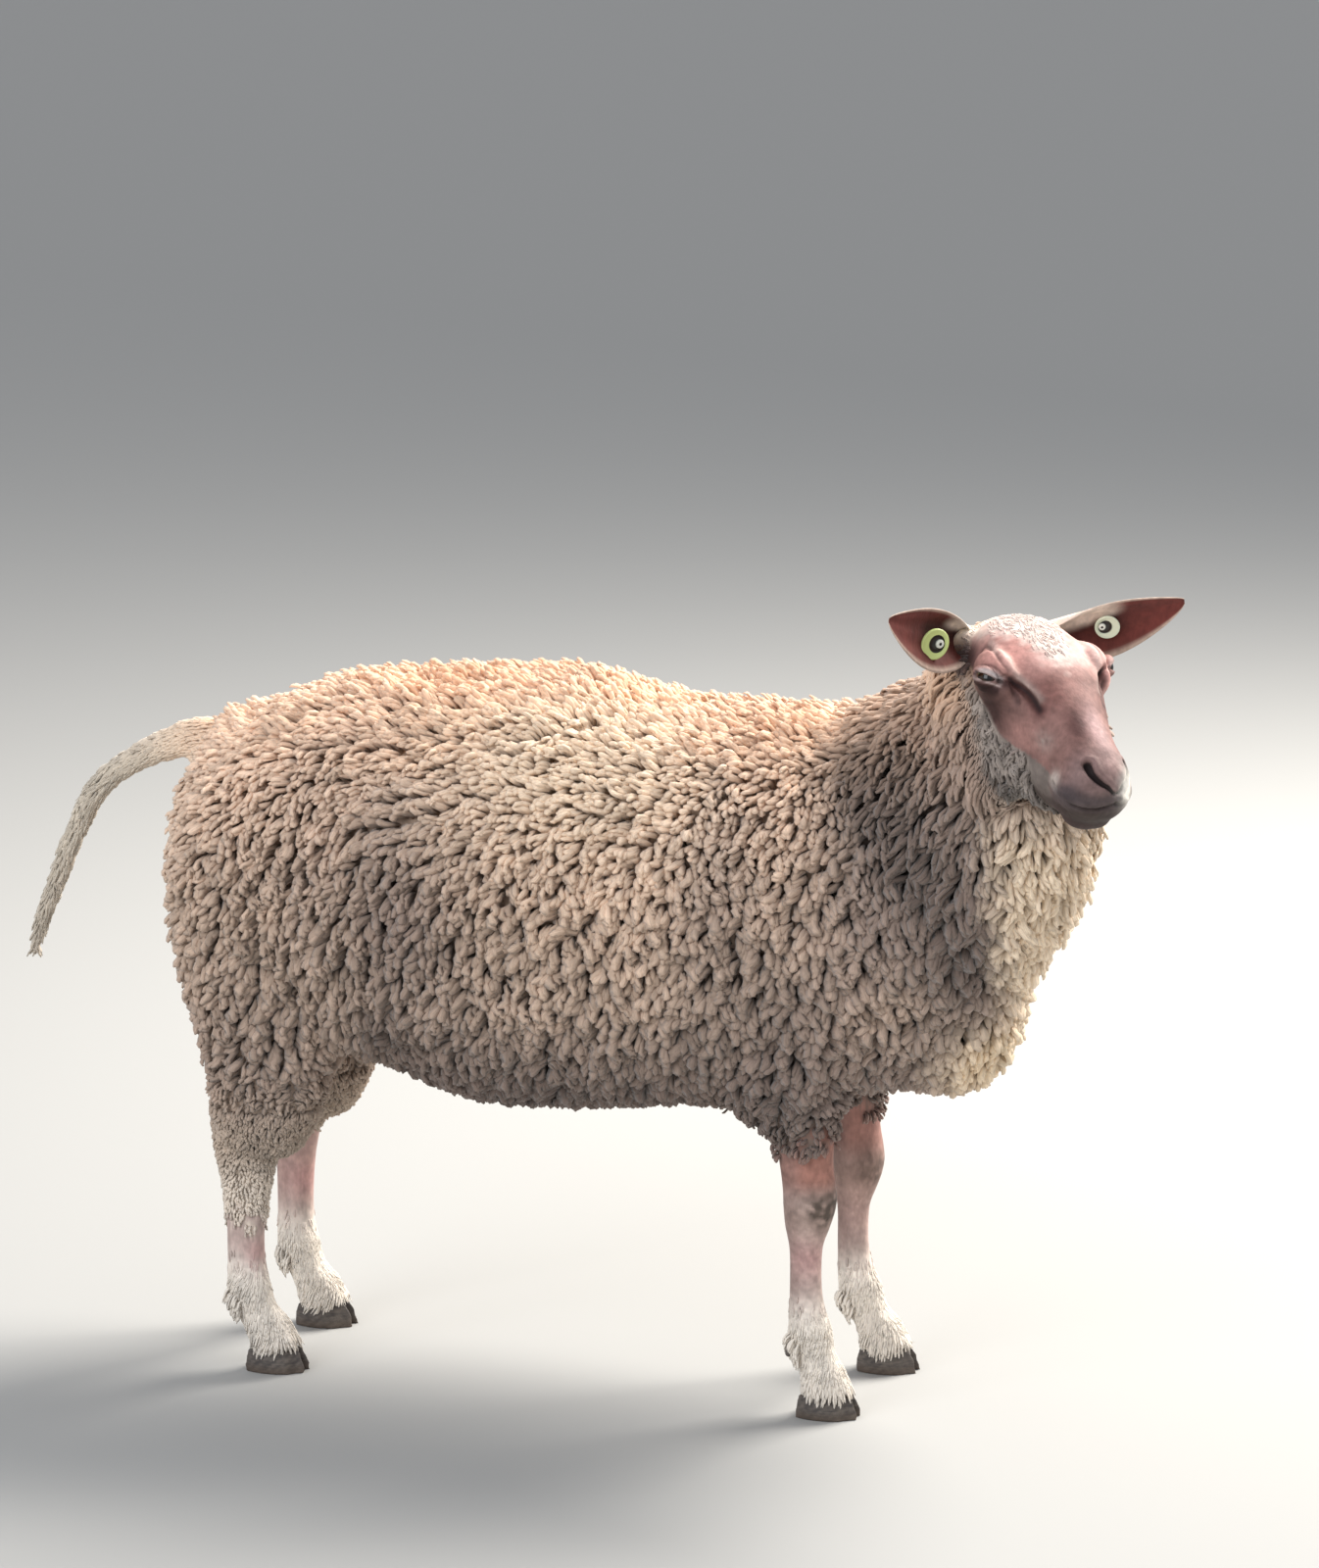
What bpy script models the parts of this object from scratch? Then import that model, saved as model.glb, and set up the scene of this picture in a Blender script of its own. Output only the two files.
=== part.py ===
"""A shorn ewe with its fleece half grown back, standing square with its head turned to its right.

Metres, +Z up. The ewe faces +X, its left side is +Y, and its soles stand at z = 0. The body is
lofted in pieces, fused into one smooth hide and parted with thin cuts. Outer sizes include the
fleece. The origin ends up at the bottom centre of the whole animal's box.
"""

import math

import bmesh
import bpy
import numpy as np
from mathutils import Matrix, Vector

OBJECT_NAME = "shorn_ewe"

# Driving sizes of the animal.
BACK_HEIGHT = 0.742
BARREL_HALF_WIDTH = 0.222
STANCE_HALF_WIDTH = 0.092
FORE_CANNON_X = {"right": 0.184, "left": 0.184}
FORE_FOOT_X = {"right": 0.205, "left": 0.219}
HIND_CANNON_X = {"right": -0.420, "left": -0.434}
HIND_FOOT_X = {"right": -0.390, "left": -0.404}
HEAD_YAW = math.radians(-48)
HEAD_PITCH = math.radians(13)
HEAD_ROLL = math.radians(1)
HEAD_BASE = Vector((0.3650, -0.0740, 0.7300))
GAP = 0.0004

# Fineness of the lofts and of the fused hide.
SECTION_SIDES = 32
LOFT_STEPS = 40
HIDE_VOXEL = 0.0055
LEG_SIDES = 12
LEG_STEPS = 16
HIDE_SMOOTHING = 9
HIDE_TRIANGLES = 2650

ELBOW_CUT = 0.405
STIFLE_CUT = 0.430
TAIL_HEAD_X = -0.528
TAIL_BEND_X = -0.640
FETLOCK_TOP = 0.098
CLAW_HEIGHT = 0.0245
DEWCLAW_HEIGHT = 0.070
EYE_RADIUS = 0.0145
EYE_PLACE = (0.095, 0.0595, 0.074)
EAR_LENGTH = 0.134
EAR_LIFT = {"right": math.radians(17), "left": math.radians(14)}
EAR_CURL = 0.014
EAR_SWING = {"right": math.radians(29), "left": math.radians(27)}
EAR_TILT = {"right": math.radians(-14), "left": math.radians(10)}
EAR_THICKNESS = 0.0032
TAG_RADIUS = 0.0150
TAG_PIN_RADIUS = 0.0026

SIDES = {"right": -1.0, "left": 1.0}
HEAD_TURN = (
    Matrix.Rotation(HEAD_YAW, 4, "Z")
    @ Matrix.Rotation(HEAD_PITCH, 4, "Y")
    @ Matrix.Rotation(HEAD_ROLL, 4, "X")
)
HEAD_FRAME = Matrix.Translation(HEAD_BASE) @ HEAD_TURN

MATERIALS = {
    "fleece": ((0.55, 0.44, 0.33), 0.95),
    "bare_skin": ((0.50, 0.33, 0.29), 0.70),
    "horn": ((0.10, 0.09, 0.085), 0.55),
    "eye": ((0.05, 0.035, 0.02), 0.08),
    "tag_plastic": ((0.70, 0.80, 0.30), 0.45),
}


def clear_scene():
    """Removes what the start-up file holds."""
    for thing in list(bpy.data.objects):
        bpy.data.objects.remove(thing, do_unlink=True)


def make_collection(name, rendered):
    """A collection under the scene's own, hidden from renders when it holds cutters."""
    collection = bpy.data.collections.new(name)
    collection.hide_render = not rendered
    bpy.context.scene.collection.children.link(collection)
    return collection


def make_material(name):
    """A Principled material from the table of finishes."""
    colour, roughness = MATERIALS[name]
    material = bpy.data.materials.get(name) or bpy.data.materials.new(name)
    material.use_nodes = True
    shader = material.node_tree.nodes["Principled BSDF"]
    shader.inputs["Base Color"].default_value = (*colour, 1.0)
    shader.inputs["Roughness"].default_value = roughness
    shader.inputs["Metallic"].default_value = 0.0
    material.diffuse_color = (*colour, 1.0)
    return material


def add_object(name, mesh, collection, material=None):
    """A new object in a collection, with a material when it is a visible piece."""
    thing = bpy.data.objects.new(name, mesh)
    collection.objects.link(thing)
    if material:
        mesh.materials.clear()
        mesh.materials.append(make_material(material))
    return thing


def finished_mesh(thing):
    """The object's mesh with its modifiers applied and its place written into its points."""
    bpy.context.view_layer.update()
    graph = bpy.context.evaluated_depsgraph_get()
    mesh = bpy.data.meshes.new_from_object(thing.evaluated_get(graph))
    mesh.transform(thing.matrix_world)
    return mesh


def bake(thing):
    """Applies the object's modifiers and place, and leaves it at the origin."""
    mesh = finished_mesh(thing)
    thing.modifiers.clear()
    thing.data = mesh
    thing.matrix_world = Matrix.Identity(4)
    return thing


def smooth_rows(keys, count):
    """Key rows carried on a Catmull-Rom curve to count rows, spaced evenly in key number."""
    keys = np.asarray(keys, float)
    padded = np.vstack([2 * keys[0] - keys[1], keys, 2 * keys[-1] - keys[-2]])
    at = np.linspace(0, len(keys) - 1, count)
    cell = np.minimum(at.astype(int), len(keys) - 2)
    t = (at - cell)[:, None]
    p0, p1, p2, p3 = (padded[cell + step] for step in range(4))
    bend = 2 * p0 - 5 * p1 + 4 * p2 - p3
    turn = -p0 + 3 * p1 - 3 * p2 + p3
    return 0.5 * (2 * p1 + (p2 - p0) * t + bend * t**2 + turn * t**3)


def loft(
    name, keys, collection, reference=(0, 0, 1), frame=None, steps=LOFT_STEPS, power=2.2,
    sides=SECTION_SIDES,
):
    """A closed tube through oval sections square to the path of their centres.

    A key is x, y, z, half width, reach towards the reference direction, reach away from it.
    """
    rows = smooth_rows(keys, steps)
    centres, radii = rows[:, :3], np.maximum(rows[:, 3:6], 0.0005)
    tangent = np.gradient(centres, axis=0)
    tangent /= np.linalg.norm(tangent, axis=1)[:, None]
    across = np.cross(np.asarray(reference, float), tangent)
    across /= np.linalg.norm(across, axis=1)[:, None]
    towards = np.cross(tangent, across)
    angle = np.linspace(0, 2 * math.pi, sides, endpoint=False)
    cos, sin = np.cos(angle), np.sin(angle)
    wide = np.sign(cos) * np.abs(cos) ** (2 / power)
    tall = np.sign(sin) * np.abs(sin) ** (2 / power)
    reach = np.where(tall > 0, radii[:, 1:2], radii[:, 2:3])
    points = (
        centres[:, None]
        + across[:, None] * (radii[:, 0:1] * wide)[..., None]
        + towards[:, None] * (reach * tall)[..., None]
    )
    mesh = bpy.data.meshes.new(name)
    mesh.from_pydata(points.reshape(-1, 3).tolist(), [], tube_faces(steps, sides))
    mesh.validate()
    if frame is not None:
        mesh.transform(frame)
    face_outwards(mesh)
    return add_object(name, mesh, collection)


def tube_faces(rings, sides):
    """Quads between rings of points, with one many-sided cap at each end."""
    faces = []
    for ring in range(rings - 1):
        for side in range(sides):
            ahead = (side + 1) % sides
            low, high = ring * sides, (ring + 1) * sides
            faces.append((low + side, low + ahead, high + ahead, high + side))
    faces.append(tuple(reversed(range(sides))))
    faces.append(tuple(range((rings - 1) * sides, rings * sides)))
    return faces


def face_outwards(mesh):
    """Turns every face of a closed mesh outwards."""
    shape = bmesh.new()
    shape.from_mesh(mesh)
    bmesh.ops.recalc_face_normals(shape, faces=shape.faces)
    if shape.calc_volume(signed=True) < 0:
        bmesh.ops.reverse_faces(shape, faces=shape.faces)
    shape.to_mesh(mesh)
    shape.free()


def ellipsoid(name, centre, radii, collection, frame=None, turn=None, fineness=20):
    """A sphere primitive stretched to three radii, turned and placed."""
    shape = bmesh.new()
    bmesh.ops.create_uvsphere(shape, u_segments=fineness, v_segments=fineness // 2, radius=1.0)
    mesh = bpy.data.meshes.new(name)
    shape.to_mesh(mesh)
    shape.free()
    place = Matrix.Translation(centre) @ (turn or Matrix.Identity(4)) @ Matrix.Diagonal((*radii, 1.0))
    mesh.transform((frame or Matrix.Identity(4)) @ place)
    return add_object(name, mesh, collection)


def block(name, low, high, collection, frame=None):
    """A box between two corners."""
    low, high = Vector(low), Vector(high)
    shape = bmesh.new()
    bmesh.ops.create_cube(shape, size=1.0)
    mesh = bpy.data.meshes.new(name)
    shape.to_mesh(mesh)
    shape.free()
    size = high - low
    place = Matrix.Translation((low + high) / 2) @ Matrix.Diagonal((*size, 1.0))
    mesh.transform((frame or Matrix.Identity(4)) @ place)
    return add_object(name, mesh, collection)


def prism(name, outline, half_width, collection, frame, grow=0.0):
    """A side outline of x, z pairs given a width, and grown all round from its middle."""
    middle = np.mean(outline, axis=0)
    reach = np.linalg.norm(np.asarray(outline) - middle, axis=1).min()
    corners = middle + (np.asarray(outline) - middle) * (1 + 2 * grow / reach)
    count = len(corners)
    points = [(x, y, z) for y in (-half_width - grow, half_width + grow) for x, z in corners]
    mesh = bpy.data.meshes.new(name)
    mesh.from_pydata(points, [], tube_faces(2, count))
    mesh.transform(frame)
    face_outwards(mesh)
    return add_object(name, mesh, collection)


def combine(thing, other, operation):
    """Applies one exact Boolean of another object to this one."""
    step = thing.modifiers.new(operation.lower(), "BOOLEAN")
    step.operation = operation
    step.solver = "EXACT"
    step.object = other
    return bake(thing)


def swollen(thing, by, collection):
    """A copy whose points stand further out along their normals."""
    mesh = thing.data.copy()
    normals = np.empty(len(mesh.vertices) * 3)
    points = np.empty(len(mesh.vertices) * 3)
    mesh.vertex_normals.foreach_get("vector", normals)
    mesh.vertices.foreach_get("co", points)
    mesh.vertices.foreach_set("co", points + normals * by)
    mesh.update()
    return add_object(thing.name + "_pocket", mesh, collection)


def take_region(body, name, region, clearance, collection, material):
    """Parts a node off the body: what lies in the region becomes the node, less a thin gap."""
    piece = add_object(name, body.data.copy(), collection)
    combine(piece, region, "INTERSECT")
    combine(body, clearance, "DIFFERENCE")
    piece.data.materials.clear()
    piece.data.materials.append(make_material(material))
    return piece


# --- the whole hide, lofted -------------------------------------------------------------------


def trunk_keys():
    """Rump to chest: the barrel is widest behind the elbows, and the back is level."""
    full, top = BARREL_HALF_WIDTH, BACK_HEIGHT
    rows = [
        # x, height of the widest line, half width, back height, belly height
        (-0.522, 0.535, 0.040, 0.570, 0.500),
        (-0.509, 0.535, 0.086, 0.612, 0.445),
        (-0.474, 0.535, 0.134, 0.664, 0.400),
        (-0.420, 0.535, 0.172, 0.697, 0.378),
        (-0.360, 0.530, 0.195, top - 0.012, 0.362),
        (-0.280, 0.515, full * 0.93, top, 0.330),
        (-0.180, 0.500, full * 0.98, top, 0.292),
        (-0.080, 0.495, full, top, 0.288),
        (0.010, 0.495, full * 0.98, top - 0.022, 0.297),
        (0.090, 0.495, full * 0.91, top - 0.026, 0.306),
        (0.170, 0.500, full * 0.83, top - 0.026, 0.316),
        (0.250, 0.490, full * 0.72, 0.700, 0.318),
        (0.330, 0.470, full * 0.54, 0.620, 0.332),
        (0.382, 0.460, full * 0.34, 0.545, 0.378),
        (0.400, 0.455, full * 0.10, 0.490, 0.420),
    ]
    return [(x, 0, widest, wide, up - widest, widest - down) for x, widest, wide, up, down in rows]


def neck_keys():
    """Shoulders to the back of the head: it climbs and swings to the ewe's right."""
    return [
        (0.140, 0.000, 0.490, 0.165, 0.170, 0.180),
        (0.215, -0.004, 0.545, 0.160, 0.165, 0.196),
        (0.285, -0.014, 0.605, 0.143, 0.143, 0.190),
        (0.345, -0.038, 0.665, 0.122, 0.114, 0.165),
        (0.390, -0.072, 0.715, 0.096, 0.085, 0.125),
        (0.420, -0.108, 0.748, 0.060, 0.055, 0.080),
    ]


def head_keys():
    """Nape to upper lip in the head's own frame: x along the mouth line, z to the crown."""
    rows = [
        # x, height of the widest line, half width, crown or nose line, jaw line
        (-0.020, 0.030, 0.042, 0.080, -0.030),
        (0.020, 0.036, 0.060, 0.106, -0.050),
        (0.056, 0.040, 0.067, 0.115, -0.061),
        (0.093, 0.036, 0.064, 0.107, -0.061),
        (0.125, 0.024, 0.053, 0.089, -0.053),
        (0.158, 0.012, 0.0425, 0.070, -0.044),
        (0.188, 0.005, 0.0370, 0.054, -0.039),
        (0.213, 0.002, 0.0350, 0.042, -0.036),
        (0.231, 0.001, 0.0285, 0.030, -0.026),
        (0.240, 0.001, 0.0140, 0.014, -0.011),
    ]
    return [(x, 0, mid, wide, up - mid, mid - down) for x, mid, wide, up, down in rows]


def foreleg_wool_keys(side):
    """Shoulder to the wool's edge above the knee."""
    y, x = SIDES[side] * STANCE_HALF_WIDTH, FORE_CANNON_X[side]
    return [
        (x - 0.014, y * 1.10, 0.520, 0.075, 0.110, 0.110),
        (x - 0.019, y * 1.12, 0.440, 0.070, 0.098, 0.105),
        (x - 0.021, y * 1.08, 0.375, 0.058, 0.080, 0.090),
        (x - 0.015, y * 1.02, 0.330, 0.046, 0.056, 0.066),
        (x - 0.005, y, 0.300, 0.036, 0.037, 0.042),
        (x - 0.001, y, 0.282, 0.030, 0.030, 0.034),
    ]


def hind_leg_wool_keys(side):
    """Hip to the wool's edge round the hock."""
    y, x = SIDES[side] * STANCE_HALF_WIDTH, HIND_CANNON_X[side]
    return [
        (x + 0.026, y * 0.80, 0.640, 0.045, 0.060, 0.050),
        (x + 0.022, y * 1.05, 0.580, 0.082, 0.105, 0.088),
        (x + 0.020, y * 1.12, 0.500, 0.088, 0.120, 0.095),
        (x + 0.020, y * 1.12, 0.420, 0.076, 0.104, 0.083),
        (x + 0.020, y * 1.08, 0.350, 0.062, 0.086, 0.062),
        (x + 0.016, y * 1.04, 0.300, 0.053, 0.076, 0.054),
        (x + 0.012, y * 1.02, 0.262, 0.046, 0.062, 0.050),
        (x + 0.004, y, 0.236, 0.034, 0.039, 0.038),
    ]


def tail_keys():
    """Root to tip: it stands out level from the croup, arches over and hangs clear."""
    return [
        (-0.430, 0.000, 0.640, 0.034, 0.034, 0.034),
        (-0.490, 0.000, 0.650, 0.025, 0.023, 0.027),
        (-0.530, 0.002, 0.641, 0.019, 0.018, 0.021),
        (-0.575, 0.006, 0.622, 0.0155, 0.0155, 0.0155),
        (-0.618, 0.010, 0.590, 0.0145, 0.0145, 0.0145),
        (-0.646, 0.013, 0.545, 0.0135, 0.0135, 0.0135),
        (-0.670, 0.015, 0.490, 0.0125, 0.0125, 0.0125),
        (-0.692, 0.016, 0.438, 0.0105, 0.0105, 0.0105),
        (-0.708, 0.016, 0.396, 0.0055, 0.0055, 0.0055),
    ]


def head_lumps(side):
    """Rounded masses that stand out of the skull: eye sockets, cheek, ear root and chin."""
    s = SIDES[side]
    return [
        ("socket", (0.094, s * 0.0535, 0.075), (0.029, 0.0175, 0.022)),
        ("cheek", (0.080, s * 0.030, -0.012), (0.056, 0.027, 0.045)),
        ("ear_root", (0.020, s * 0.052, 0.082), (0.021, 0.018, 0.021)),
        ("lip", (0.213, s * 0.014, 0.001), (0.023, 0.023, 0.025)),
        ("chin", (0.203, s * 0.004, -0.029), (0.023, 0.020, 0.013)),
    ]


def make_hide(helpers):
    """Every mass fused by a voxel remesh, smoothed, and thinned to an even faceting."""
    masses = [
        loft("mass_trunk", trunk_keys(), helpers, power=2.35),
        loft("mass_neck", neck_keys(), helpers),
        loft("mass_head", head_keys(), helpers, frame=HEAD_FRAME, power=2.3),
        loft("mass_tail", tail_keys(), helpers, power=2.0),
        ellipsoid("mass_brisket", (0.302, 0, 0.430), (0.090, 0.105, 0.108), helpers),
    ]
    for side in SIDES:
        masses.append(loft("mass_fore", foreleg_wool_keys(side), helpers, reference=(1, 0, 0)))
        masses.append(loft("mass_hind", hind_leg_wool_keys(side), helpers, reference=(1, 0, 0)))
        for name, centre, radii in head_lumps(side):
            masses.append(ellipsoid("mass_" + name, centre, radii, helpers, frame=HEAD_FRAME))
    joined = bmesh.new()
    for mass in masses:
        joined.from_mesh(mass.data)
        bpy.data.objects.remove(mass, do_unlink=True)
    mesh = bpy.data.meshes.new("hide")
    joined.to_mesh(mesh)
    joined.free()
    hide = add_object("hide", mesh, helpers)
    fuse = hide.modifiers.new("fuse", "REMESH")
    fuse.mode = "VOXEL"
    fuse.voxel_size = HIDE_VOXEL
    relax = hide.modifiers.new("relax", "SMOOTH")
    relax.factor = 0.5
    relax.iterations = HIDE_SMOOTHING
    bake(hide)
    return thin_out(hide)


def thin_out(hide):
    """Collapses the fused hide to its budget, which keeps triangles where the form bends most."""
    thin = hide.modifiers.new("thin", "DECIMATE")
    thin.ratio = HIDE_TRIANGLES / (2 * len(hide.data.polygons))
    thin.use_collapse_triangulate = True
    return bake(hide)


# --- pieces of their own ----------------------------------------------------------------------


def ear_point(side, along, across):
    """A point of the ear's middle sheet: a leaf rolled into a funnel at its root.

    along runs 0 to 1 from root to tip, across -1 to 1 from the lower to the upper edge. The
    lower half of the leaf is the wider one, and the tip curls up.
    """
    half = 0.0315 * math.sin(math.pi * min(1.0, 0.16 + 0.84 * along) ** 0.80) ** 0.72 + 0.0030
    half *= 1.0 - 0.22 * across
    roll = 0.50 + 1.75 * (1 - along) ** 3.2
    bow = half / roll
    angle = across * roll
    side_step = bow * math.sin(angle)
    hollow = bow * (1 - math.cos(angle))
    curl = EAR_CURL * along**2
    return Vector((hollow, SIDES[side] * EAR_LENGTH * along, side_step + curl))


def ear_frame(side):
    """Ear root on the skull, its length sideways, forward and a little up, its hollow forward."""
    s = SIDES[side]
    root = Vector((0.006, s * 0.052, 0.085))
    swing = Matrix.Rotation(-s * EAR_SWING[side], 4, "Z")
    lift = Matrix.Rotation(s * EAR_LIFT[side], 4, "X")
    tilt = Matrix.Rotation(EAR_TILT[side], 4, "Y")
    return HEAD_FRAME @ Matrix.Translation(root) @ lift @ swing @ tilt


def make_ear(side, pockets, pin_cutter, parts):
    """One ear: a curled leaf with Solidify, cut clear of head and neck and pierced for its tag."""
    rows, columns = 9, 7
    points = [
        ear_point(side, row / (rows - 1), -1 + 2 * column / (columns - 1))
        for row in range(rows)
        for column in range(columns)
    ]
    faces = [
        (r * columns + c, r * columns + c + 1, (r + 1) * columns + c + 1, (r + 1) * columns + c)
        for r in range(rows - 1)
        for c in range(columns - 1)
    ]
    mesh = bpy.data.meshes.new("ear")
    mesh.from_pydata(points, [], faces)
    ear = add_object("ear_" + side, mesh, parts)
    wall = ear.modifiers.new("wall", "SOLIDIFY")
    wall.thickness = EAR_THICKNESS
    wall.offset = 0.0
    bake(ear)
    ear.data.transform(ear_frame(side))
    face_outwards(ear.data)
    for pocket in pockets:
        combine(ear, pocket, "DIFFERENCE")
    keep_largest(ear)
    combine(ear, pin_cutter, "DIFFERENCE")
    ear.data.materials.clear()
    ear.data.materials.append(make_material("bare_skin"))
    return ear


def keep_largest(thing):
    """Drops every loose body of a mesh but the one with the most volume."""
    shape = bmesh.new()
    shape.from_mesh(thing.data)
    bmesh.ops.remove_doubles(shape, verts=shape.verts, dist=1e-6)
    unseen, bodies = set(shape.verts), []
    while unseen:
        stack, body = [unseen.pop()], set()
        while stack:
            vertex = stack.pop()
            body.add(vertex)
            near = {edge.other_vert(vertex) for edge in vertex.link_edges} & unseen
            unseen -= near
            stack.extend(near)
        bodies.append(body)
    largest = max(bodies, key=body_span)
    spare = [vertex for body in bodies if body is not largest for vertex in body]
    bmesh.ops.delete(shape, geom=spare, context="VERTS")
    shape.to_mesh(thing.data)
    shape.free()


def body_span(body):
    """The diagonal of a body's box, which ranks loose bodies by size."""
    places = np.array([vertex.co for vertex in body])
    return float(np.linalg.norm(places.max(axis=0) - places.min(axis=0)))


def turned(name, profile, frame, collection, material, steps=10):
    """A profile of radius and height pairs turned about its own axis by a Screw modifier."""
    mesh = bpy.data.meshes.new(name)
    points = [(radius, 0, height) for radius, height in profile]
    mesh.from_pydata(points, [(i, i + 1) for i in range(len(points) - 1)], [])
    thing = add_object(name, mesh, collection)
    screw = thing.modifiers.new("turn", "SCREW")
    screw.steps = steps
    screw.render_steps = steps
    screw.use_merge_vertices = True
    screw.merge_threshold = 0.00001
    bake(thing)
    thing.data.transform(frame)
    face_outwards(thing.data)
    if material:
        thing.data.materials.clear()
        thing.data.materials.append(make_material(material))
    return thing


def tag_frame(side):
    """The tag's pin runs square through the ear's hollow, a third of the way out."""
    along, across, step = 0.42, -0.16, 0.01
    frame = ear_frame(side)
    centre = frame @ ear_point(side, along, across)
    ahead = frame @ ear_point(side, along + step, across)
    above = frame @ ear_point(side, along, across + step)
    outward = (ahead - centre).normalized()
    upward = (above - centre).normalized()
    axis = outward.cross(upward).normalized()
    if axis.dot(frame.to_3x3() @ Vector((1, 0, 0))) < 0:
        axis = -axis
    turn = Matrix((upward.cross(axis), upward, axis)).transposed().to_4x4()
    if turn.determinant() < 0:
        turn = Matrix((axis.cross(upward), upward, axis)).transposed().to_4x4()
    return Matrix.Translation(centre) @ turn


def make_tag(side, parts):
    """A round two-piece button: a dished ring inside the ear, a plain plate and pin behind it."""
    frame, r, pin = tag_frame(side), TAG_RADIUS, TAG_PIN_RADIUS
    face, back = 0.0052, -0.0062
    ring = [
        (pin + 0.0004, face),
        (r - 0.0006, face),
        (r, face + 0.0007),
        (r, face + 0.0028),
        (r - 0.0008, face + 0.0036),
        (r - 0.0036, face + 0.0036),
        (r - 0.0044, face + 0.0018),
        (0.0062, face + 0.0018),
        (0.0055, face + 0.0052),
        (pin + 0.0004, face + 0.0052),
        (pin + 0.0004, face),
    ]
    plate = [
        (0.0, back - 0.0022),
        (r - 0.0014, back - 0.0022),
        (r - 0.0006, back - 0.0014),
        (r - 0.0006, back),
        (pin + 0.0022, back),
        (pin, back + 0.0022),
        (pin, face + 0.0040),
        (0.0, face + 0.0040),
    ]
    turned("ear_tag_ring_" + side, ring, frame, parts, "tag_plastic")
    turned("ear_tag_pin_" + side, plate, frame, parts, "tag_plastic")


def make_pin_cutter(side, helpers):
    """The hole that a tag's pin fills in the ear, a little wider than the pin."""
    radius = TAG_PIN_RADIUS + GAP
    profile = [(0.0, -0.03), (radius, -0.03), (radius, 0.03), (0.0, 0.03)]
    return turned("pin_hole_" + side, profile, tag_frame(side), helpers, None, steps=8)


def make_eye(side, head, parts, helpers):
    """An eyeball in a socket cut a hair wider than itself."""
    x, y, z = EYE_PLACE
    centre = (x, SIDES[side] * y, z)
    radii = (EYE_RADIUS,) * 3
    eye = ellipsoid("eye_" + side, centre, radii, parts, frame=HEAD_FRAME, fineness=12)
    eye.data.materials.append(make_material("eye"))
    wider = (EYE_RADIUS + GAP,) * 3
    socket = ellipsoid("socket_" + side, centre, wider, helpers, frame=HEAD_FRAME, fineness=12)
    combine(head, socket, "DIFFERENCE")


def cut_nostril(side, head, helpers):
    """A slanting slit at each side of the nose."""
    s = SIDES[side]
    slant = Matrix.Rotation(s * math.radians(48), 4, "Z") @ Matrix.Rotation(math.radians(35), 4, "Y")
    slit = ellipsoid(
        "nostril_" + side, (0.229, s * 0.0175, 0.020), (0.013, 0.0035, 0.0045), helpers,
        frame=HEAD_FRAME, turn=slant, fineness=12,
    )
    combine(head, slit, "DIFFERENCE")


def foreleg_keys(side):
    """Forearm, knee, cannon, fetlock and pastern of a bare foreleg, top to bottom."""
    y, cannon, foot = SIDES[side] * STANCE_HALF_WIDTH, FORE_CANNON_X[side], FORE_FOOT_X[side]
    step = foot - cannon
    return [
        (cannon - 0.002, y, 0.2800, 0.0245, 0.0290, 0.0320),
        (cannon, y, 0.2500, 0.0235, 0.0265, 0.0280),
        (cannon + 0.002, y, 0.2200, 0.0245, 0.0270, 0.0255),
        (cannon + 0.001, y, 0.1960, 0.0215, 0.0225, 0.0220),
        (cannon, y, 0.1700, 0.0150, 0.0155, 0.0160),
        (cannon, y, 0.1300, 0.0145, 0.0155, 0.0165),
        (cannon + 0.10 * step, y, 0.1050, 0.0170, 0.0180, 0.0200),
        (cannon + 0.22 * step, y, 0.0880, 0.0205, 0.0205, 0.0225),
        (cannon + 0.50 * step, y, 0.0620, 0.0185, 0.0190, 0.0195),
        (cannon + 0.84 * step, y, 0.0400, 0.0225, 0.0235, 0.0235),
        (foot + 0.06 * step, y, 0.0220, 0.0235, 0.0265, 0.0255),
    ]


def hind_leg_keys(side):
    """Shank below the hock, fetlock and pastern of a bare hind leg, top to bottom."""
    y, cannon, foot = SIDES[side] * STANCE_HALF_WIDTH, HIND_CANNON_X[side], HIND_FOOT_X[side]
    step = foot - cannon
    return [
        (cannon + 0.002, y, 0.2340, 0.0240, 0.0280, 0.0290),
        (cannon + 0.001, y, 0.2100, 0.0205, 0.0245, 0.0250),
        (cannon, y, 0.1800, 0.0170, 0.0210, 0.0215),
        (cannon - 0.001, y, 0.1400, 0.0160, 0.0190, 0.0200),
        (cannon, y, 0.1100, 0.0170, 0.0190, 0.0210),
        (cannon + 0.08 * step, y, 0.0880, 0.0205, 0.0205, 0.0230),
        (cannon + 0.38 * step, y, 0.0620, 0.0185, 0.0190, 0.0200),
        (cannon + 0.80 * step, y, 0.0400, 0.0220, 0.0230, 0.0235),
        (foot + 0.06 * step, y, 0.0220, 0.0230, 0.0260, 0.0250),
    ]


def make_lower_leg(name, keys, parts, helpers):
    """A bare leg let into the wool above it, and parted above the fetlock."""
    leg = loft(
        name + "_shank", keys, parts, reference=(1, 0, 0), steps=LEG_STEPS, power=2.1,
        sides=LEG_SIDES,
    )
    x, y = keys[0][0], keys[0][1]
    reach = 0.1
    corner = (x - reach, y - reach, CLAW_HEIGHT + GAP)
    sole = (x - reach, y - reach, -reach)
    low = block("below", corner, (x + reach, y + reach, FETLOCK_TOP), helpers)
    above = block("above", sole, (x + reach, y + reach, FETLOCK_TOP + GAP), helpers)
    foot = add_object(name + "_pastern", leg.data.copy(), parts)
    combine(foot, low, "INTERSECT")
    combine(leg, above, "DIFFERENCE")
    combine(parts.objects[name + "_upper"], swollen(leg, GAP, helpers), "DIFFERENCE")
    for piece in (leg, foot):
        piece.data.materials.clear()
        piece.data.materials.append(make_material("bare_skin"))


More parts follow.
